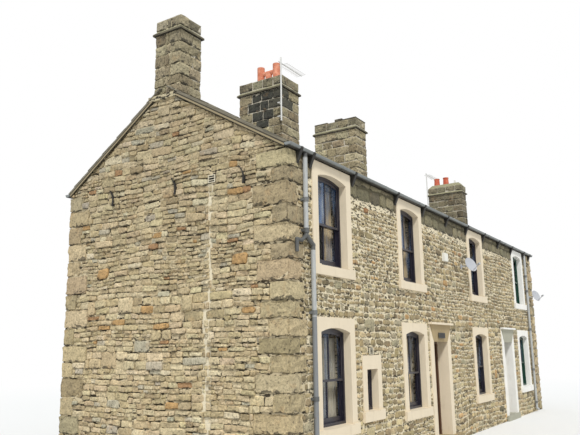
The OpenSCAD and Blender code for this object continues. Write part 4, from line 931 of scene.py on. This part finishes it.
print("walls")
cornerStones = sum((boxes for boxes, covers in quoins.values()), [])
squaredStones("corner_quoins", cornerStones, "quoin", quoinTones, 11, cells=5, bevel=0.018,
              chip=0.011, bulge=0.012, edge=0.86, undercut=0.03,
              given={1: (150, 136, 106), 2: (156, 140, 108), 3: (152, 138, 108)})
gableBlocks = quoinBlocks("nearFront", "nearRear", 1, rowDepth)
gableBlocks += [ventBlock(*vents["gable"]), gable["stackFoot"], *crackStrips()]
rubbleWall("near_gable_stones", gable["wall"], gable["rubble"], gableBlocks, 21,
           notable=gable["notable"])

plain = dict(gable["rubble"], corners=8, face=0.0, band=(0.28, 0.40), rows=(0.12, 0.62, 0.26))
farWall = dict(gable["wall"], start=(rowLength, 0), out=(1, 0))
rubbleWall("far_gable_stones", farWall, plain, quoinBlocks("farFront", "farRear", 1, rowDepth),
           22)

front = dict(
    wall=dict(start=(0, 0), along=(1, 0), out=(0, -1), length=rowLength, top=5.2,
              line=levelTop(layout["eaves"]), finish="front"),
    rubble=dict(band=(0.19, 0.28), rows=(0.02, 0.52, 0.44, 0.02), single=(0.2, 0.42), run=(0.35, 1.0),
                stretch=1.65, lower=dict(below=2.6, rows=(0.09, 0.83, 0.08), stretch=1.9), corners=10,
                joint=(0.013, 0.027), openShare=0.15, openGap=(0.004, 0.012), skew=0.014, square=(0.40, 0.75),
                ragged=0.06, sway=0.06, proud=(0.003, 0.016), flush=1.1, lean=0.12, overhang=0.08,
                chip=0.0035, face=0.0, arris=(0.005, 0.014), edge=0.90, palette=frontTones, spread=0.14,
                eaves=dict(palette=eavesShadowTones, foot=4.69, heights=(0.27, 0.12), lengths=(0.26, 0.52))),
    splits=(0.0, 5.2, 9.6, rowLength), rearSplits=(0.0, 7.66, rowLength),     # behind surrounds or a stack
    # wall box, then the wall plates of the two dishes
    fixtures=((6.60, 6.84, 4.02, 4.21), (7.90, 8.01, 3.96, 4.08), (14.78, 14.89, 3.60, 3.72)),
    soldiers=dict(start=0.70, end=2.06, foot=2.542, widths=(0.12, 0.23), heights=(0.11, 0.14)),
    notable=[(4.41, 2.63, orange), (5.77, 2.85, (196, 150, 96)), (5.10, 3.03, orange), (2.97, 3.61, sand),
             (2.69, 4.65, umber), (7.63, 2.09, orange), (7.18, 2.37, orange), (10.05, 1.77, orange),
             (10.79, 2.72, orange), (7.08, 1.86, sand), (3.04, 2.91, rust), (6.26, 4.0, orange),
             (6.70, 3.46, orange), (10.3, 1.3, orange), (7.9, 3.2, rust), (8.0, 4.3, rust),
             (11.4, 3.3, orange)])


def windowBlocks(x, sill, high, half, sillHalf):
    # the dressed stones of a window, which stand in the rubble
    foot = sill - layout["sill"]
    return [(x - half, x + half, foot, sill + high), (x - sillHalf, x + sillHalf, foot, sill)]


def bayBlocks(sills):
    s, blocks = layout, []
    for x in s["bays"]:
        for sill in sills:
            blocks += windowBlocks(x, sill, s["clearHeight"] + s["lintel"], s["surroundHalf"], s["sillHalf"])
    return blocks


def soldierRow():
    # stones on end over the lintel of the first window
    s, stones, draw = front["soldiers"], [], np.random.default_rng(5)
    spot = s["start"]
    while spot < s["end"]:
        wide = draw.uniform(*s["widths"])
        stones.append((spot, spot + wide, s["foot"], s["foot"] + draw.uniform(*s["heights"])))
        spot += wide
    return stones


frontBlocks = bayBlocks(layout["sillTops"]) + windowBlocks(*layout["pantry"])
for x in layout["doors"]:
    frontBlocks += [(x - layout["doorHalf"], x + layout["doorHalf"], -0.1, layout["headTop"]),
                    (x - layout["hoodHalf"], x + layout["hoodHalf"], layout["headTop"], layout["hoodTop"])]
wallBox, *dishPlates = front["fixtures"]
frontBlocks += [wallBox, ventBlock(*vents["brick"]), *dishPlates]
frontBlocks += quoinBlocks("nearFront", "farFront", 0, rowLength)
for number, slot in enumerate(("front_wall_near", "front_wall_middle", "front_wall_far")):
    a, b = front["splits"][number:number + 2]
    rubbleWall(slot + "_stones", front["wall"], front["rubble"], frontBlocks, 31 + number, span=(a, b),
               extra=() if number else soldierRow(),
               notable=[entry for entry in front["notable"] if a < entry[0] < b])

rearWall = dict(front["wall"], start=(0, rowDepth), out=(0, 1), top=5.1, line=levelTop(layout["rearEaves"]))
rearRubble = dict(front["rubble"], corners=8, band=(0.28, 0.40), rows=(0.1, 0.5, 0.4), stretch=1.8,
                  eaves=None)
rearBlocks = bayBlocks(layout["rearSillTops"]) + quoinBlocks("nearRear", "farRear", 0, rowLength)
for number, slot in enumerate(("rear_wall_near", "rear_wall_far")):
    rubbleWall(slot + "_stones", rearWall, rearRubble, rearBlocks, 41 + number,
               span=front["rearSplits"][number:number + 2])

# each body: x, width, y, depth, top and foot
stacks = dict(
    bodies=((0.010, 0.540, 2.236, 0.588, 7.71, 6.52), (2.880, 0.650, 1.975, 1.110, 7.53, 6.10),
            (6.220, 0.540, 1.930, 1.200, 7.56, 6.10), (14.410, 0.480, 1.920, 1.220, 7.50, 6.10)),
    drip=0.085, cap=0.200, course=(0.19, 0.235), capCourse=(0.2, 0.2), proud=0.012, joint=0.012,
    # share of the width and the lengths that the corner stones take, in turn, then the stones between them
    turnX=(0.38, 0.62), turnY=((0.22, 0.34), (0.34, 0.22)), between=0.3, least=0.06, thick=0.1,
    shades=(0.79, 0.83, 1.02, 0.49), capShades=(0.80, 0.78, 0.95, 0.70),
    # blackened stones: number of the stack, where they lie on its near side and on its front side
    sooty=1, sootySide=(2.25, 2.72, 6.75), sideSoot=(58, 58, 50), sootyHead=(0.4, 7.2), headSoot=(74, 72, 60))


def stackBoxes(x, wide, y, deep, low, high, draw, course):
    # courses of blocks round the four faces, with two stones or three on the longer faces
    s, boxes, p, j = stacks, [], stacks["proud"], stacks["joint"] / 2
    rows = max(1, round((high - low) / draw.uniform(*course)))
    heights = np.cumsum(draw.uniform(0.85, 1.15, rows))
    levels = low + (high - low) * np.concatenate([[0], heights / heights[-1]])
    for i, (a, b) in enumerate(zip(levels[:-1], levels[1:])):
        cx = wide * s["turnX"][i % 2]
        cy = [min(deep * 0.45, length) for length in s["turnY"][i % 2]]
        cut = draw.uniform(-0.04, 0.04, 4)
        fronts, rears = cx + cut[0], cx + cut[1]
        for (x0, x1), (y0, y1) in (((0, fronts), (0, cy[0])), ((fronts, wide), (0, cy[1])),
                                   ((0, rears), (deep - cy[1], deep)), ((rears, wide), (deep - cy[0], deep))):
            out = draw.uniform(0.6, 1.2) * p
            near = [spot + side - (-j if side else out) for spot, side in ((x, x0), (y, y0))]
            far = [spot + side + (out if side == end else -j)
                   for spot, side, end in ((x, x1, wide), (y, y1, deep))]
            boxes.append(((*near, a + j), (*far, b - j)))
        for first, last, side, thick in ((cy[0], deep - cy[1], 0.0, s["thick"]),
                                         (cy[1], deep - cy[0], wide, -s["thick"])):
            room = last - first
            if room < s["least"]:
                continue
            count = max(1, round(room / s["between"]))
            inner = (np.arange(1, count) + draw.uniform(-0.2, 0.2, count - 1)) / count
            cuts = first + room * np.sort(np.concatenate([[0, 1], inner]))
            for c, d in zip(cuts[:-1], cuts[1:]):
                out = draw.uniform(0.5, 1.2) * p
                x0, x1 = sorted((x + side - math.copysign(out, thick), x + side + thick))
                boxes.append(((x0, y + c + j, a + j), (x1, y + d - j, b - j)))
    return boxes


def shaded(palette, amount):
    return [(*(value * amount ** 0.45 for value in entry[:3]), entry[3]) for entry in palette]


def sootedStones(boxes, x, y):
    # blackened stones in the middle of the near side and at the head of the front side
    s, given = stacks, {}
    (start, end, sideFoot), (wide, headFoot) = s["sootySide"], s["sootyHead"]
    for number, (low, high) in enumerate(boxes):
        middle = [(a + b) / 2 for a, b in zip(low, high)]
        if low[0] < x and start < middle[1] < end and middle[2] > sideFoot:
            given[number] = s["sideSoot"]
        elif low[1] < y and middle[0] < x + wide and middle[2] > headFoot:
            given[number] = s["headSoot"]
    return given


print("stacks")
for number, (x, wide, y, deep, high, low) in enumerate(stacks["bodies"]):
    draw = np.random.default_rng(60 + number)
    top = high + stacks["drip"]
    body = stackBoxes(x, wide, y, deep, low, high - 0.004, draw, stacks["course"])
    squaredStones(f"stack_{number + 1}_stones", body, "stack",
                  shaded(stackTones, stacks["shades"][number]), 70 + number, bevel=0.012,
                  given=sootedStones(body, x, y) if number == stacks["sooty"] else None)
    caps = stackBoxes(x, wide, y, deep, top + 0.002, top + stacks["cap"] + 0.004, draw, stacks["capCourse"])
    squaredStones(f"stack_{number + 1}_cap_stones", caps, "stack",
                  shaded(capTones, stacks["capShades"][number]), 80 + number, chip=0.005, bulge=0.003)


class Grower(Maker):
    # a Geometry Nodes tree
    def __init__(self, name, seed):
        super().__init__(bpy.data.node_groups.new(name, "GeometryNodeTree"))
        for way in ("INPUT", "OUTPUT"):
            self.tree.interface.new_socket("Geometry", in_out=way, socket_type="NodeSocketGeometry")
        self.source = self.add("NodeGroupInput", {}, {}).socket.node
        self.values = {}
        self.seed = self.input("Seed", "Int", seed)

    # a named input, with the value that this run gives it
    def input(self, name, kind, value):
        socket = self.tree.interface.new_socket(name, in_out="INPUT", socket_type="NodeSocket" + kind)
        self.values[socket.identifier] = value
        return Tap(self, self.source.outputs[name])

    def vector(self, x, y, z):
        return self.add("ShaderNodeCombineXYZ", {}, {0: x, 1: y, 2: z})

    def vectorMath(self, operation, first, second):
        return self.add("ShaderNodeVectorMath", dict(operation=operation), {0: first, 1: second})

    def random(self, low, high):
        settings = dict(data_type="FLOAT_VECTOR")
        return self.add("FunctionNodeRandomValue", settings, {0: low, 1: high, "Seed": self.seed})

    # ends the tree, runs it on an empty mesh and keeps the result as a plain piece
    def grow(self, name, geometry, finish, slot):
        real = self.add("GeometryNodeRealizeInstances", {}, {0: geometry})
        dressed = self.add("GeometryNodeSetMaterial", {}, {0: real, 2: finishes[finish]})
        self.add("NodeGroupOutput", {}, {0: dressed})
        holder = bpy.data.objects.new(name + "_seed", bpy.data.meshes.new(name + "_seed"))
        scene.collection.objects.link(holder)
        modifier = holder.modifiers.new("grow", "NODES")
        modifier.node_group = self.tree
        for identifier, value in self.values.items():
            modifier[identifier] = value
        view = bpy.context.evaluated_depsgraph_get()
        view.update()
        mesh = bpy.data.meshes.new_from_object(holder.evaluated_get(view), depsgraph=view)
        bpy.data.objects.remove(holder)
        mesh.name = name
        print("  ", name, len(mesh.polygons), "faces")
        return addPiece(name, mesh)


roofing = dict(rows=13, width=0.34, thick=0.018, seeds=(3, 12), over=0.06, lap=0.05, spare=0.004,
               ridgeGap=0.09, lift=0.002, darkSlate=(104, 99, 86), paleSlate=(129, 122, 106),
               # least and most of a slate's shift, of its size by width, exposure and thick, and of its turn
               shift=((-0.006, -0.010, -0.002), (0.006, 0.010, 0.002)),
               size=((0.965, 1.18, 0.8), (0.985, 1.30, 1.3)),
               turn=((-0.052, -0.006, -0.012), (-0.040, 0.006, 0.012)))


def slateSlope(name, frontSide, slot):
    # rows of slates up one slope, each row shifted by half a slate, each slate a little out of line
    r, ridgeY = roofing, layout["ridgeY"]
    pitch = math.radians(layout["frontPitch"] if frontSide else layout["rearPitch"])
    length = ((ridgeY if frontSide else rowDepth - ridgeY) + r["lap"]) / math.cos(pitch)
    span = rowLength + 2 * r["over"]
    g = Grower(name, r["seeds"][0 if frontSide else 1])
    rows = g.input("Rows", "Int", r["rows"])
    columns = g.input("Columns", "Int", int(span / r["width"]) + 1)
    wide = g.input("Slate width", "Float", span / int(span / r["width"]))
    exposure = g.input("Slate exposure", "Float", length / r["rows"])
    line = g.add("GeometryNodePoints", {}, {0: rows * columns})
    index = g.add("GeometryNodeInputIndex", {}, {})
    row, column = g.math("FLOOR", index / columns), g.math("MODULO", index, columns)
    across = (column + 0.5 - g.math("MODULO", row, 2.0) * 0.5) * wide
    spot = g.vectorMath("ADD", g.vector(across, (row + 0.5) * exposure, 0.0), g.random(*r["shift"]))
    placed = g.add("GeometryNodeSetPosition", {}, {0: line, 2: spot})
    slab = g.add("GeometryNodeMeshCube", {}, {0: (1.0, 1.0, 1.0), 1: 3, 2: 3, 3: 2})
    size = g.random(*((broad, long, r["thick"] * thick) for broad, long, thick in r["size"]))
    scale = g.vectorMath("MULTIPLY", size, g.vector(wide, exposure, 1.0))
    laid = g.add("GeometryNodeInstanceOnPoints", {},
                 {"Points": placed, "Instance": slab, "Rotation": g.random(*r["turn"]), "Scale": scale})
    share = g.add("FunctionNodeRandomValue", dict(data_type="FLOAT"), {2: 0.0, 3: 1.0, "Seed": g.seed}, 1)
    tint = g.add("ShaderNodeMix", dict(data_type="RGBA"),
                 {0: share, 6: tone(*r["darkSlate"]), 7: tone(*r["paleSlate"])}, 2)
    tinted = g.add("GeometryNodeStoreNamedAttribute", dict(data_type="FLOAT_COLOR", domain="INSTANCE"),
                   {"Geometry": laid, "Name": "tint", "Value": tint})
    mesh = g.grow(name, tinted, "slate", slot).data
    # the rows lie flat at the origin so far: turn them onto the slope and trim them to the roof's ends
    co = np.zeros(len(mesh.vertices) * 3)
    mesh.vertices.foreach_get("co", co)
    x, up, over = co.reshape(-1, 3).T
    x = np.clip(x, -r["spare"], span + r["spare"])
    up = np.clip(up, -r["spare"], length - r["ridgeGap"])
    s, c = math.sin(pitch), math.cos(pitch)
    y = -r["lap"] + up * c - (over + r["lift"]) * s
    foot = (layout["eaves"] if frontSide else layout["rearEaves"]) + layout["roofThick"]
    z = foot - r["lap"] * math.tan(pitch) + up * s + (over + r["lift"]) * c
    out = np.stack([corner[0] - r["over"] + x, corner[1] + (y if frontSide else rowDepth - y), z], 1)
    mesh.vertices.foreach_set("co", out.ravel())
    if not frontSide:
        mesh.flip_normals()
    mesh.update()


print("roof")
slateSlope("front_slates", True, "roof_front")
slateSlope("rear_slates", False, "roof_rear")

bars = dict(wide=0.030, frameY=0.110, setBack=0.012, sash=0.042, apart=0.002, frame=0.042, stile=0.048,
            meeting=0.70, foot=0.110, rise=0.070, bedded=0.020, inset=0.004,
            section=((-0.5, 0.15), (-0.5, 0.45), (-0.22, 1.0), (0.22, 1.0), (0.5, 0.45), (0.5, 0.15),
                     (0.22, 0.0), (-0.22, 0.0)))


def sashBars():
    # an upright bar with a lamb's tongue edge in each sash
    b, form = bars, Form()
    top = layout["clearHeight"] + b["rise"] - b["frame"] - b["stile"] + b["bedded"]
    deep = b["sash"] - 2 * b["inset"]
    for x in layout["bays"]:
        for sills, face, sign in ((layout["sillTops"], 0.0, 1), (layout["rearSillTops"], rowDepth, -1)):
            upper = face + sign * (b["frameY"] + b["setBack"])
            lower = upper + sign * (b["sash"] + b["apart"])
            for sill in sills:
                for plane, low, high in ((upper, b["meeting"], top), (lower, b["foot"], b["meeting"])):
                    outer = plane + sign * (b["sash"] - b["inset"])
                    section = [(x + across * b["wide"], outer - sign * share * deep)
                               for across, share in b["section"]]
                    form.loft([[place(*spot, sill + z) for spot in section] for z in (low, high)])
    form.build("sash_bars", "sash", "window_sashes")


print("windows")
sashBars()

curtains = dict(
    # rod and knob: half length and radius
    rod=(0.508, 0.009), knob=(0.004, 0.020), knobAt=0.505, rodUp=1.385, rodY=0.300, hangY=0.296,
    foldDepth=0.024, foldWide=0.085, foldSteps=8, gather=2.2, drift=0.006, thick=0.0012, hem=0.03, rows=14,
    # bay, storey, left and right edge from the bay's middle, cloth, how far the leading edge is drawn back
    hangings=((0, 1, 0.12, 0.49, "tanCloth", 0.10), (0, 1, -0.49, -0.30, "tanCloth", 0.0),
              (1, 1, 0.02, 0.46, "tanCloth", 0.16), (1, 1, -0.49, -0.28, "tanCloth", 0.0),
              (2, 1, -0.20, 0.20, "brownCloth", 0.08), (3, 1, 0.22, 0.49, "paleCloth", 0.05),
              (0, 0, 0.05, 0.49, "paleCloth", 0.0), (0, 0, -0.49, -0.34, "paleCloth", 0.0),
              (1, 0, -0.02, 0.34, "tanCloth", 0.14), (2, 0, -0.18, 0.16, "tanCloth", 0.10)))


def hangCurtain(number, bay, storey, left, right, cloth, drawn):
    # pleated cloth from rod to sill; drawn pulls the leading edge aside towards the foot
    c, sill = curtains, layout["sillTops"][storey]
    foot, head = sill + c["hem"], sill + c["rodUp"]
    folds = max(2, round((right - left) / c["foldWide"]))
    levels, t = np.linspace(0, 1, c["rows"]), np.linspace(0, 1, folds * c["foldSteps"] + 1)
    rows, lengths = [], []
    for level in levels:
        narrow = drawn * math.sin(math.pi * min(1.0, (1 - level) * 1.1) / 2) ** 2
        start = left + narrow
        depth = c["foldDepth"] * math.sqrt(1 + c["gather"] * narrow / (right - left))
        depth *= 0.75 + 0.25 * (1 - level)
        x = start + (right - start) * t + c["drift"] * np.sin(2 * math.pi * folds * t * 2 + level * 3)
        y = c["hangY"] + depth * np.cos(2 * math.pi * folds * t + 0.5 * math.sin(level * 5 + number))
        z = np.full(t.shape, foot + (head - foot) * level)
        row = np.stack([x + layout["bays"][bay] + corner[0], y + corner[1], z], 1)
        lengths.append(np.hypot(*np.diff(row[:, :2], axis=0).T).sum())
        rows.append(row)
    near = np.array(rows)
    points = np.concatenate([near.reshape(-1, 3), (near + np.array([0, c["thick"], 0])).reshape(-1, 3)])
    n, m = len(t), len(levels)
    index, other = np.arange(n * m).reshape(m, n), n * m
    face = np.stack([index[:-1, :-1], index[:-1, 1:], index[1:, 1:], index[1:, :-1]], -1).reshape(-1, 4)
    rim = np.concatenate([index[0], index[1:, -1], index[-1, ::-1][1:], index[::-1, 0][1:-1]])
    after = np.roll(rim, -1)
    edge = np.stack([rim, rim + other, after + other, after], 1)
    wide = float(np.mean(lengths))
    uv = np.stack([np.tile(np.linspace(0, wide, n), m), np.repeat(levels * (head - foot), n)], 1)
    faces = np.concatenate([face, face[:, ::-1] + other, edge])
    piece = buildPiece(f"curtain_{number + 1}", points, [faces], cloth,
                       uv=np.concatenate([uv, uv]))


def curtainRods():
    # a rod with a round end knob each side, over each window that has curtains
    c, form = curtains, Form()
    for bay, storey in sorted({hanging[:2] for hanging in c["hangings"]}):
        x, z = layout["bays"][bay], layout["sillTops"][storey] + c["rodUp"] + c["foldDepth"] * 0.2
        for off, (half, radius) in ((0.0, c["rod"]), (-c["knobAt"], c["knob"]), (c["knobAt"], c["knob"])):
            form.tube(*(place(x + off + side * half, c["rodY"], z) for side in (-1, 1)), radius)
    form.build("curtain_rods", "brass", "window_frames")


print("curtains")
curtainRods()
for number, hanging in enumerate(curtains["hangings"]):
    hangCurtain(number, *hanging)

ridge = dict(tile=0.46, gap=0.012, roundness=0.045, thick=0.020, lift=0.010, wing=0.176, tilt=0.003,
             mortarProud=0.004, mortarWide=0.03, mortarTone=(168, 162, 146), end=0.06, tones=200)


def ridgeSection(lift, wing, thick):
    # outline across the ridge, from the front wing over the top to the rear wing and back underneath
    r, top, outer = ridge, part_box("ridge_tiles")[1].z, []
    for k in range(9):
        t = k / 4 - 1
        pitch = math.radians(layout["frontPitch"] if t < 0 else layout["rearPitch"])
        reach = abs(t) * wing * math.cos(pitch)
        fall = math.tan(pitch) * (math.hypot(reach, r["roundness"]) - r["roundness"] * 0.55) if reach else 0.0
        fall = max(0.0, fall - r["roundness"] * 0.45 * math.tan(pitch) * 0.3)
        outer.append((layout["ridgeY"] + math.copysign(reach, t), top - fall + lift))
    return outer + [(y, z - thick) for y, z in reversed(outer)]


def ridgeRun():
    # stone ridge tiles bedded end to end between the stacks, with a band of mortar over each joint
    r, form, tints = ridge, Form(), []
    draw = np.random.default_rng(15)
    palette = paletteColors(ridgeTones, r["tones"], draw, 0.06)

    def lay(x0, x1, outline, color, tilt=0.0):
        rings = [[place(x, y, z + shift) for y, z in outline] for x, shift in ((x0, -tilt), (x1, tilt))]
        form.loft(rings, strip=True)
        tints.extend([tuple(color)] * (2 * len(outline)))

    tile = ridgeSection(r["lift"], r["wing"], r["thick"])
    band = ridgeSection(r["lift"] + r["mortarProud"], r["wing"] + 0.002, r["thick"] + 0.002)
    sides = [spot for body in stacks["bodies"] for spot in (body[0], body[0] + body[1])]
    ends = [*sides[1:], rowLength + r["end"]]
    for n, (x0, x1) in enumerate(zip(ends[::2], ends[1::2])):
        count = max(1, round((x1 - x0) / r["tile"]))
        for i in range(count):
            a, b = x0 + (x1 - x0) * i / count, x0 + (x1 - x0) * (i + 1) / count
            lay(a + r["gap"] / 2, b - r["gap"] / 2, tile, palette[(7 * n + i) % r["tones"]],
                draw.uniform(-1, 1) * r["tilt"])
            if i:
                lay(a - r["mortarWide"] / 2, a + r["mortarWide"] / 2, band, tintOf(r["mortarTone"]))
    run = form.build("ridge_run", "slate", "ridge_tiles", tints=np.array(tints))
    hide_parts("ridge_tiles")


irons = dict(spots=((3.77, 4.79), (2.25, 4.79), (0.80, 4.77)), out=0.054,
             line=((-0.085, 0.15), (-0.045, 0.10), (-0.005, 0.04), (0.012, -0.03), (0.010, -0.09),
                   (0.002, -0.15)),
             widths=(0.012, 0.018, 0.022, 0.028, 0.036, 0.040))


def tieIrons():
    # bowed wrought irons on the ends of the tie bars at the attic floor
    g, form = irons, Form()
    section = ((-0.5, 0.0), (0.5, 0.0), (0.35, g["out"]), (-0.35, g["out"]))
    for y, z in g["spots"]:
        form.loft([[place(-out, y - dy + side * wide, z + dz) for side, out in section]
                   for (dy, dz), wide in zip(g["line"], g["widths"])])
    form.build("tie_irons", "bracket", "near_gable_wall")


unions = dict(first=1.648, step=1.72, count=8, radius=0.058, middle=0.063, wide=0.055, thick=0.006,
              clear=0.0005, turns=10)


def gutterUnions():
    # sockets where the lengths of gutter join, each a half band with a rim
    u, form = unions, Form()
    turns = [math.pi * k / u["turns"] for k in range(u["turns"] + 1)]
    arc = [(u["radius"] + u["thick"], turn) for turn in turns]
    arc += [(u["radius"] + u["clear"], turn) for turn in reversed(turns)]
    for face, sign, foot in ((0.0, -1, layout["eaves"]), (rowDepth, 1, layout["rearEaves"])):
        for i in range(u["count"]):
            x = u["first"] + i * u["step"]
            section = [(face + sign * (u["middle"] + radius * math.cos(turn)),
                        foot + layout["gutterRim"] - radius * math.sin(turn)) for radius, turn in arc]
            rings = [[place(x + side * u["wide"] / 2, *spot) for spot in section] for side in (-1, 1)]
            form.loft(rings, strip=True)
    form.build("gutter_unions", "iron", "gutters")


def ventFace(form, put, wide, high):
    # a rim and level bars over a thin back; put turns a place on the face into one in the room
    v = vents
    rim, bar, over, proud = v["rim"], v["bar"] / 2, v["overlap"], v["proud"]
    left, right = rim - over, wide - rim + over
    parts = [(0, wide, 0, high, v["back"]), (0, rim, 0, high, proud), (wide - rim, wide, 0, high, proud),
             (left, right, 0, rim, proud * 0.98), (left, right, high - rim, high, proud * 0.98)]
    for i in range(1, v["slots"]):
        z = high * i / v["slots"]
        parts.append((left, right, z - bar, z + bar, proud * 0.92))
    for u0, u1, v0, v1, out in parts:
        ends = zip(put(u0, v0, v["inWall"]), put(u1, v1, -out))
        (x0, x1), (y0, y1), (z0, z1) = (sorted(pair) for pair in ends)
        form.loft([[(x, y0, z0), (x, y1, z0), (x, y1, z1), (x, y0, z1)] for x in (x0, x1)])


def ventFaces():
    # louvred face of the gable vent and slotted face of the air brick, standing out to the stones around them
    form = Form()
    spot, foot, wide, high = vents["gable"]
    ventFace(form, lambda u, w, d: place(d, spot + u, foot + w), wide, high)
    along, low, broad, tall = vents["brick"]
    ventFace(form, lambda u, w, d: place(along + u, d, low + w), broad, tall)
    form.build("vent_faces", "ventFace", "wall_fittings")


doors = dict(leaf=0.269, half=0.392, low=0.158, high=2.112, stile=0.100, mid=0.090, lock=0.95, lockRail=0.18,
             bottomRail=0.20, topRail=0.12, moulding=0.018, proud=0.010, field=0.007, bevel=0.030,
             round=0.004, groove=0.0015, sunk=0.002)


def doorPanels(number, x, finish):
    # mouldings round four raised and fielded panels
    d, form = doors, Form()
    rings = ((0.0, -d["sunk"]), (d["round"], d["proud"]), (d["moulding"] * 0.6, d["proud"]),
             (d["moulding"], d["groove"]), (d["moulding"] + d["bevel"], d["field"]))
    left, right = x - d["half"] + d["stile"], x + d["half"] - d["stile"]
    for x0, x1 in ((left, x - d["mid"] / 2), (x + d["mid"] / 2, right)):
        for z0, z1 in ((d["low"] + d["bottomRail"], d["lock"] - d["lockRail"] / 2),
                       (d["lock"] + d["lockRail"] / 2, d["high"] - d["topRail"])):
            form.panel(x0, x1, z0, z1, d["leaf"], rings)
    form.build(f"door_{number}_panels", finish, f"front_door_{number}", f"door_leaf_{number}")


plate = dict(x=6.15, z=2.298, wide=0.39, high=0.124, face=-0.045, thick=0.012, rim=0.012, bevel=0.003,
             sunk=0.002, rimTone=(88, 84, 74), fieldTone=(44, 43, 40))


def numberPlate():
    # a bare slate plate with a pale painted margin on the near door's head block
    q, form = plate, Form()
    thick, rim, bevel = q["thick"], q["rim"], q["bevel"]
    rings = ((0.0, 0.0), (0.0, thick - bevel), (bevel, thick), (rim, thick), (rim + bevel, thick - q["sunk"]))
    wide, high = q["wide"] / 2, q["high"] / 2
    form.panel(q["x"] - wide, q["x"] + wide, q["z"] - high, q["z"] + high, q["face"], rings)
    tints = [tintOf(q["rimTone"])] * 16 + [tintOf(q["fieldTone"])] * 4
    form.build("number_plate", "plate", "door_heads", tints=np.array(tints))


print("fittings")
ridgeRun()
tieIrons()
gutterUnions()
ventFaces()
for number, (x, finish) in enumerate(zip(layout["doors"], ("doorOne", "leafTwo"))):
    doorPanels(number + 1, x, finish)
numberPlate()

studio = dict(sunPower=2.4, sunSoft=9.0, sunFrom=(-0.52, -0.42, 0.76), skyPower=0.66,
              skyTint=(0.94, 0.97, 1.0, 1.0), white=(1.0, 1.0, 1.0, 1.0), floorTone=(232, 232, 230),
              floorRadius=80, floorSides=48, floorDrop=0.002, fade=(14.0, 34.0))


def setLight():
    # one soft sun, and a sky that shows as plain white to the eye and in reflections
    s = studio
    sun = bpy.data.lights.new("key", "SUN")
    sun.energy, sun.angle = s["sunPower"], math.radians(s["sunSoft"])
    lamp = bpy.data.objects.new("key", sun)
    lamp.rotation_mode = "QUATERNION"
    lamp.rotation_quaternion = Vector(s["sunFrom"]).to_track_quat("Z", "Y")
    scene.collection.objects.link(lamp)
    scene.world = bpy.data.worlds.new("studio")
    scene.world.use_nodes = True
    w = Maker(scene.world.node_tree)
    path = w.add("ShaderNodeLightPath", {}, {}, "Is Camera Ray")
    seen = w.math("MAXIMUM", path, path.out("Is Transmission Ray"))
    seen = w.math("MAXIMUM", seen, path.out("Is Glossy Ray"))
    soft = w.add("ShaderNodeBackground", {}, {0: s["skyTint"], 1: s["skyPower"]})
    plainWhite = w.add("ShaderNodeBackground", {}, {0: s["white"], 1: 1.0})
    mixed = w.add("ShaderNodeMixShader", {}, {0: seen, 1: soft, 2: plainWhite})
    w.add("ShaderNodeOutputWorld", {}, {0: mixed})


def setFloor():
    # pale floor that keeps the shadow near the house and fades into the white further out
    s, f = studio, Finish("studio floor")
    away = f.add("ShaderNodeVectorMath", dict(operation="LENGTH"), {0: f.here}, 1)
    seen = f.add("ShaderNodeLightPath", {}, {}, "Is Camera Ray")
    diffuse = f.add("ShaderNodeBsdfDiffuse", {}, {0: tone(*s["floorTone"])})
    glow = f.add("ShaderNodeEmission", {}, {0: s["white"], 1: 1.0})
    f.finish(f.add("ShaderNodeMixShader", {}, {0: f.band(away, *s["fade"]) * seen, 1: diffuse, 2: glow}))
    radius, sides = s["floorRadius"], s["floorSides"]
    turns = [2 * math.pi * i / sides for i in range(sides)]
    ring = [(radius * math.cos(turn), radius * math.sin(turn), -s["floorDrop"]) for turn in turns]
    mesh = bpy.data.meshes.new("studio_floor")
    mesh.from_pydata(ring, [], [list(range(len(ring)))])
    mesh.materials.append(f.material)
    floor = bpy.data.objects.new("studio_floor", mesh)
    scene.collection.objects.link(floor)


viewpoint = dict(lens=40.25, sensor=36.0, yaw=32.83673, pitch=11.546, roll=-0.801735,
                 spot=(-15.6205, -7.6571, 2.03), clipEnd=300.0)


def setCamera():
    # the photograph's viewpoint, worked out from the row's own corners
    v = viewpoint
    yaw, pitch, roll = (math.radians(v[key]) for key in ("yaw", "pitch", "roll"))
    level, across = Vector((math.cos(yaw), math.sin(yaw), 0)), Vector((math.sin(yaw), -math.cos(yaw), 0))
    ahead = math.cos(pitch) * level + math.sin(pitch) * Vector((0, 0, 1))
    above = -math.sin(pitch) * level + math.cos(pitch) * Vector((0, 0, 1))
    right = math.cos(roll) * across + math.sin(roll) * above
    up = -math.sin(roll) * across + math.cos(roll) * above
    data = bpy.data.cameras.new("view")
    data.lens, data.sensor_width, data.clip_end = v["lens"], v["sensor"], v["clipEnd"]
    camera = bpy.data.objects.new("view", data)
    camera.matrix_world = Matrix((right, up, -ahead)).transposed().to_4x4()
    camera.location = v["spot"]
    scene.collection.objects.link(camera)
    scene.camera = camera


print("studio")
setLight()
setFloor()
setCamera()
scene.view_settings.view_transform = "Standard"
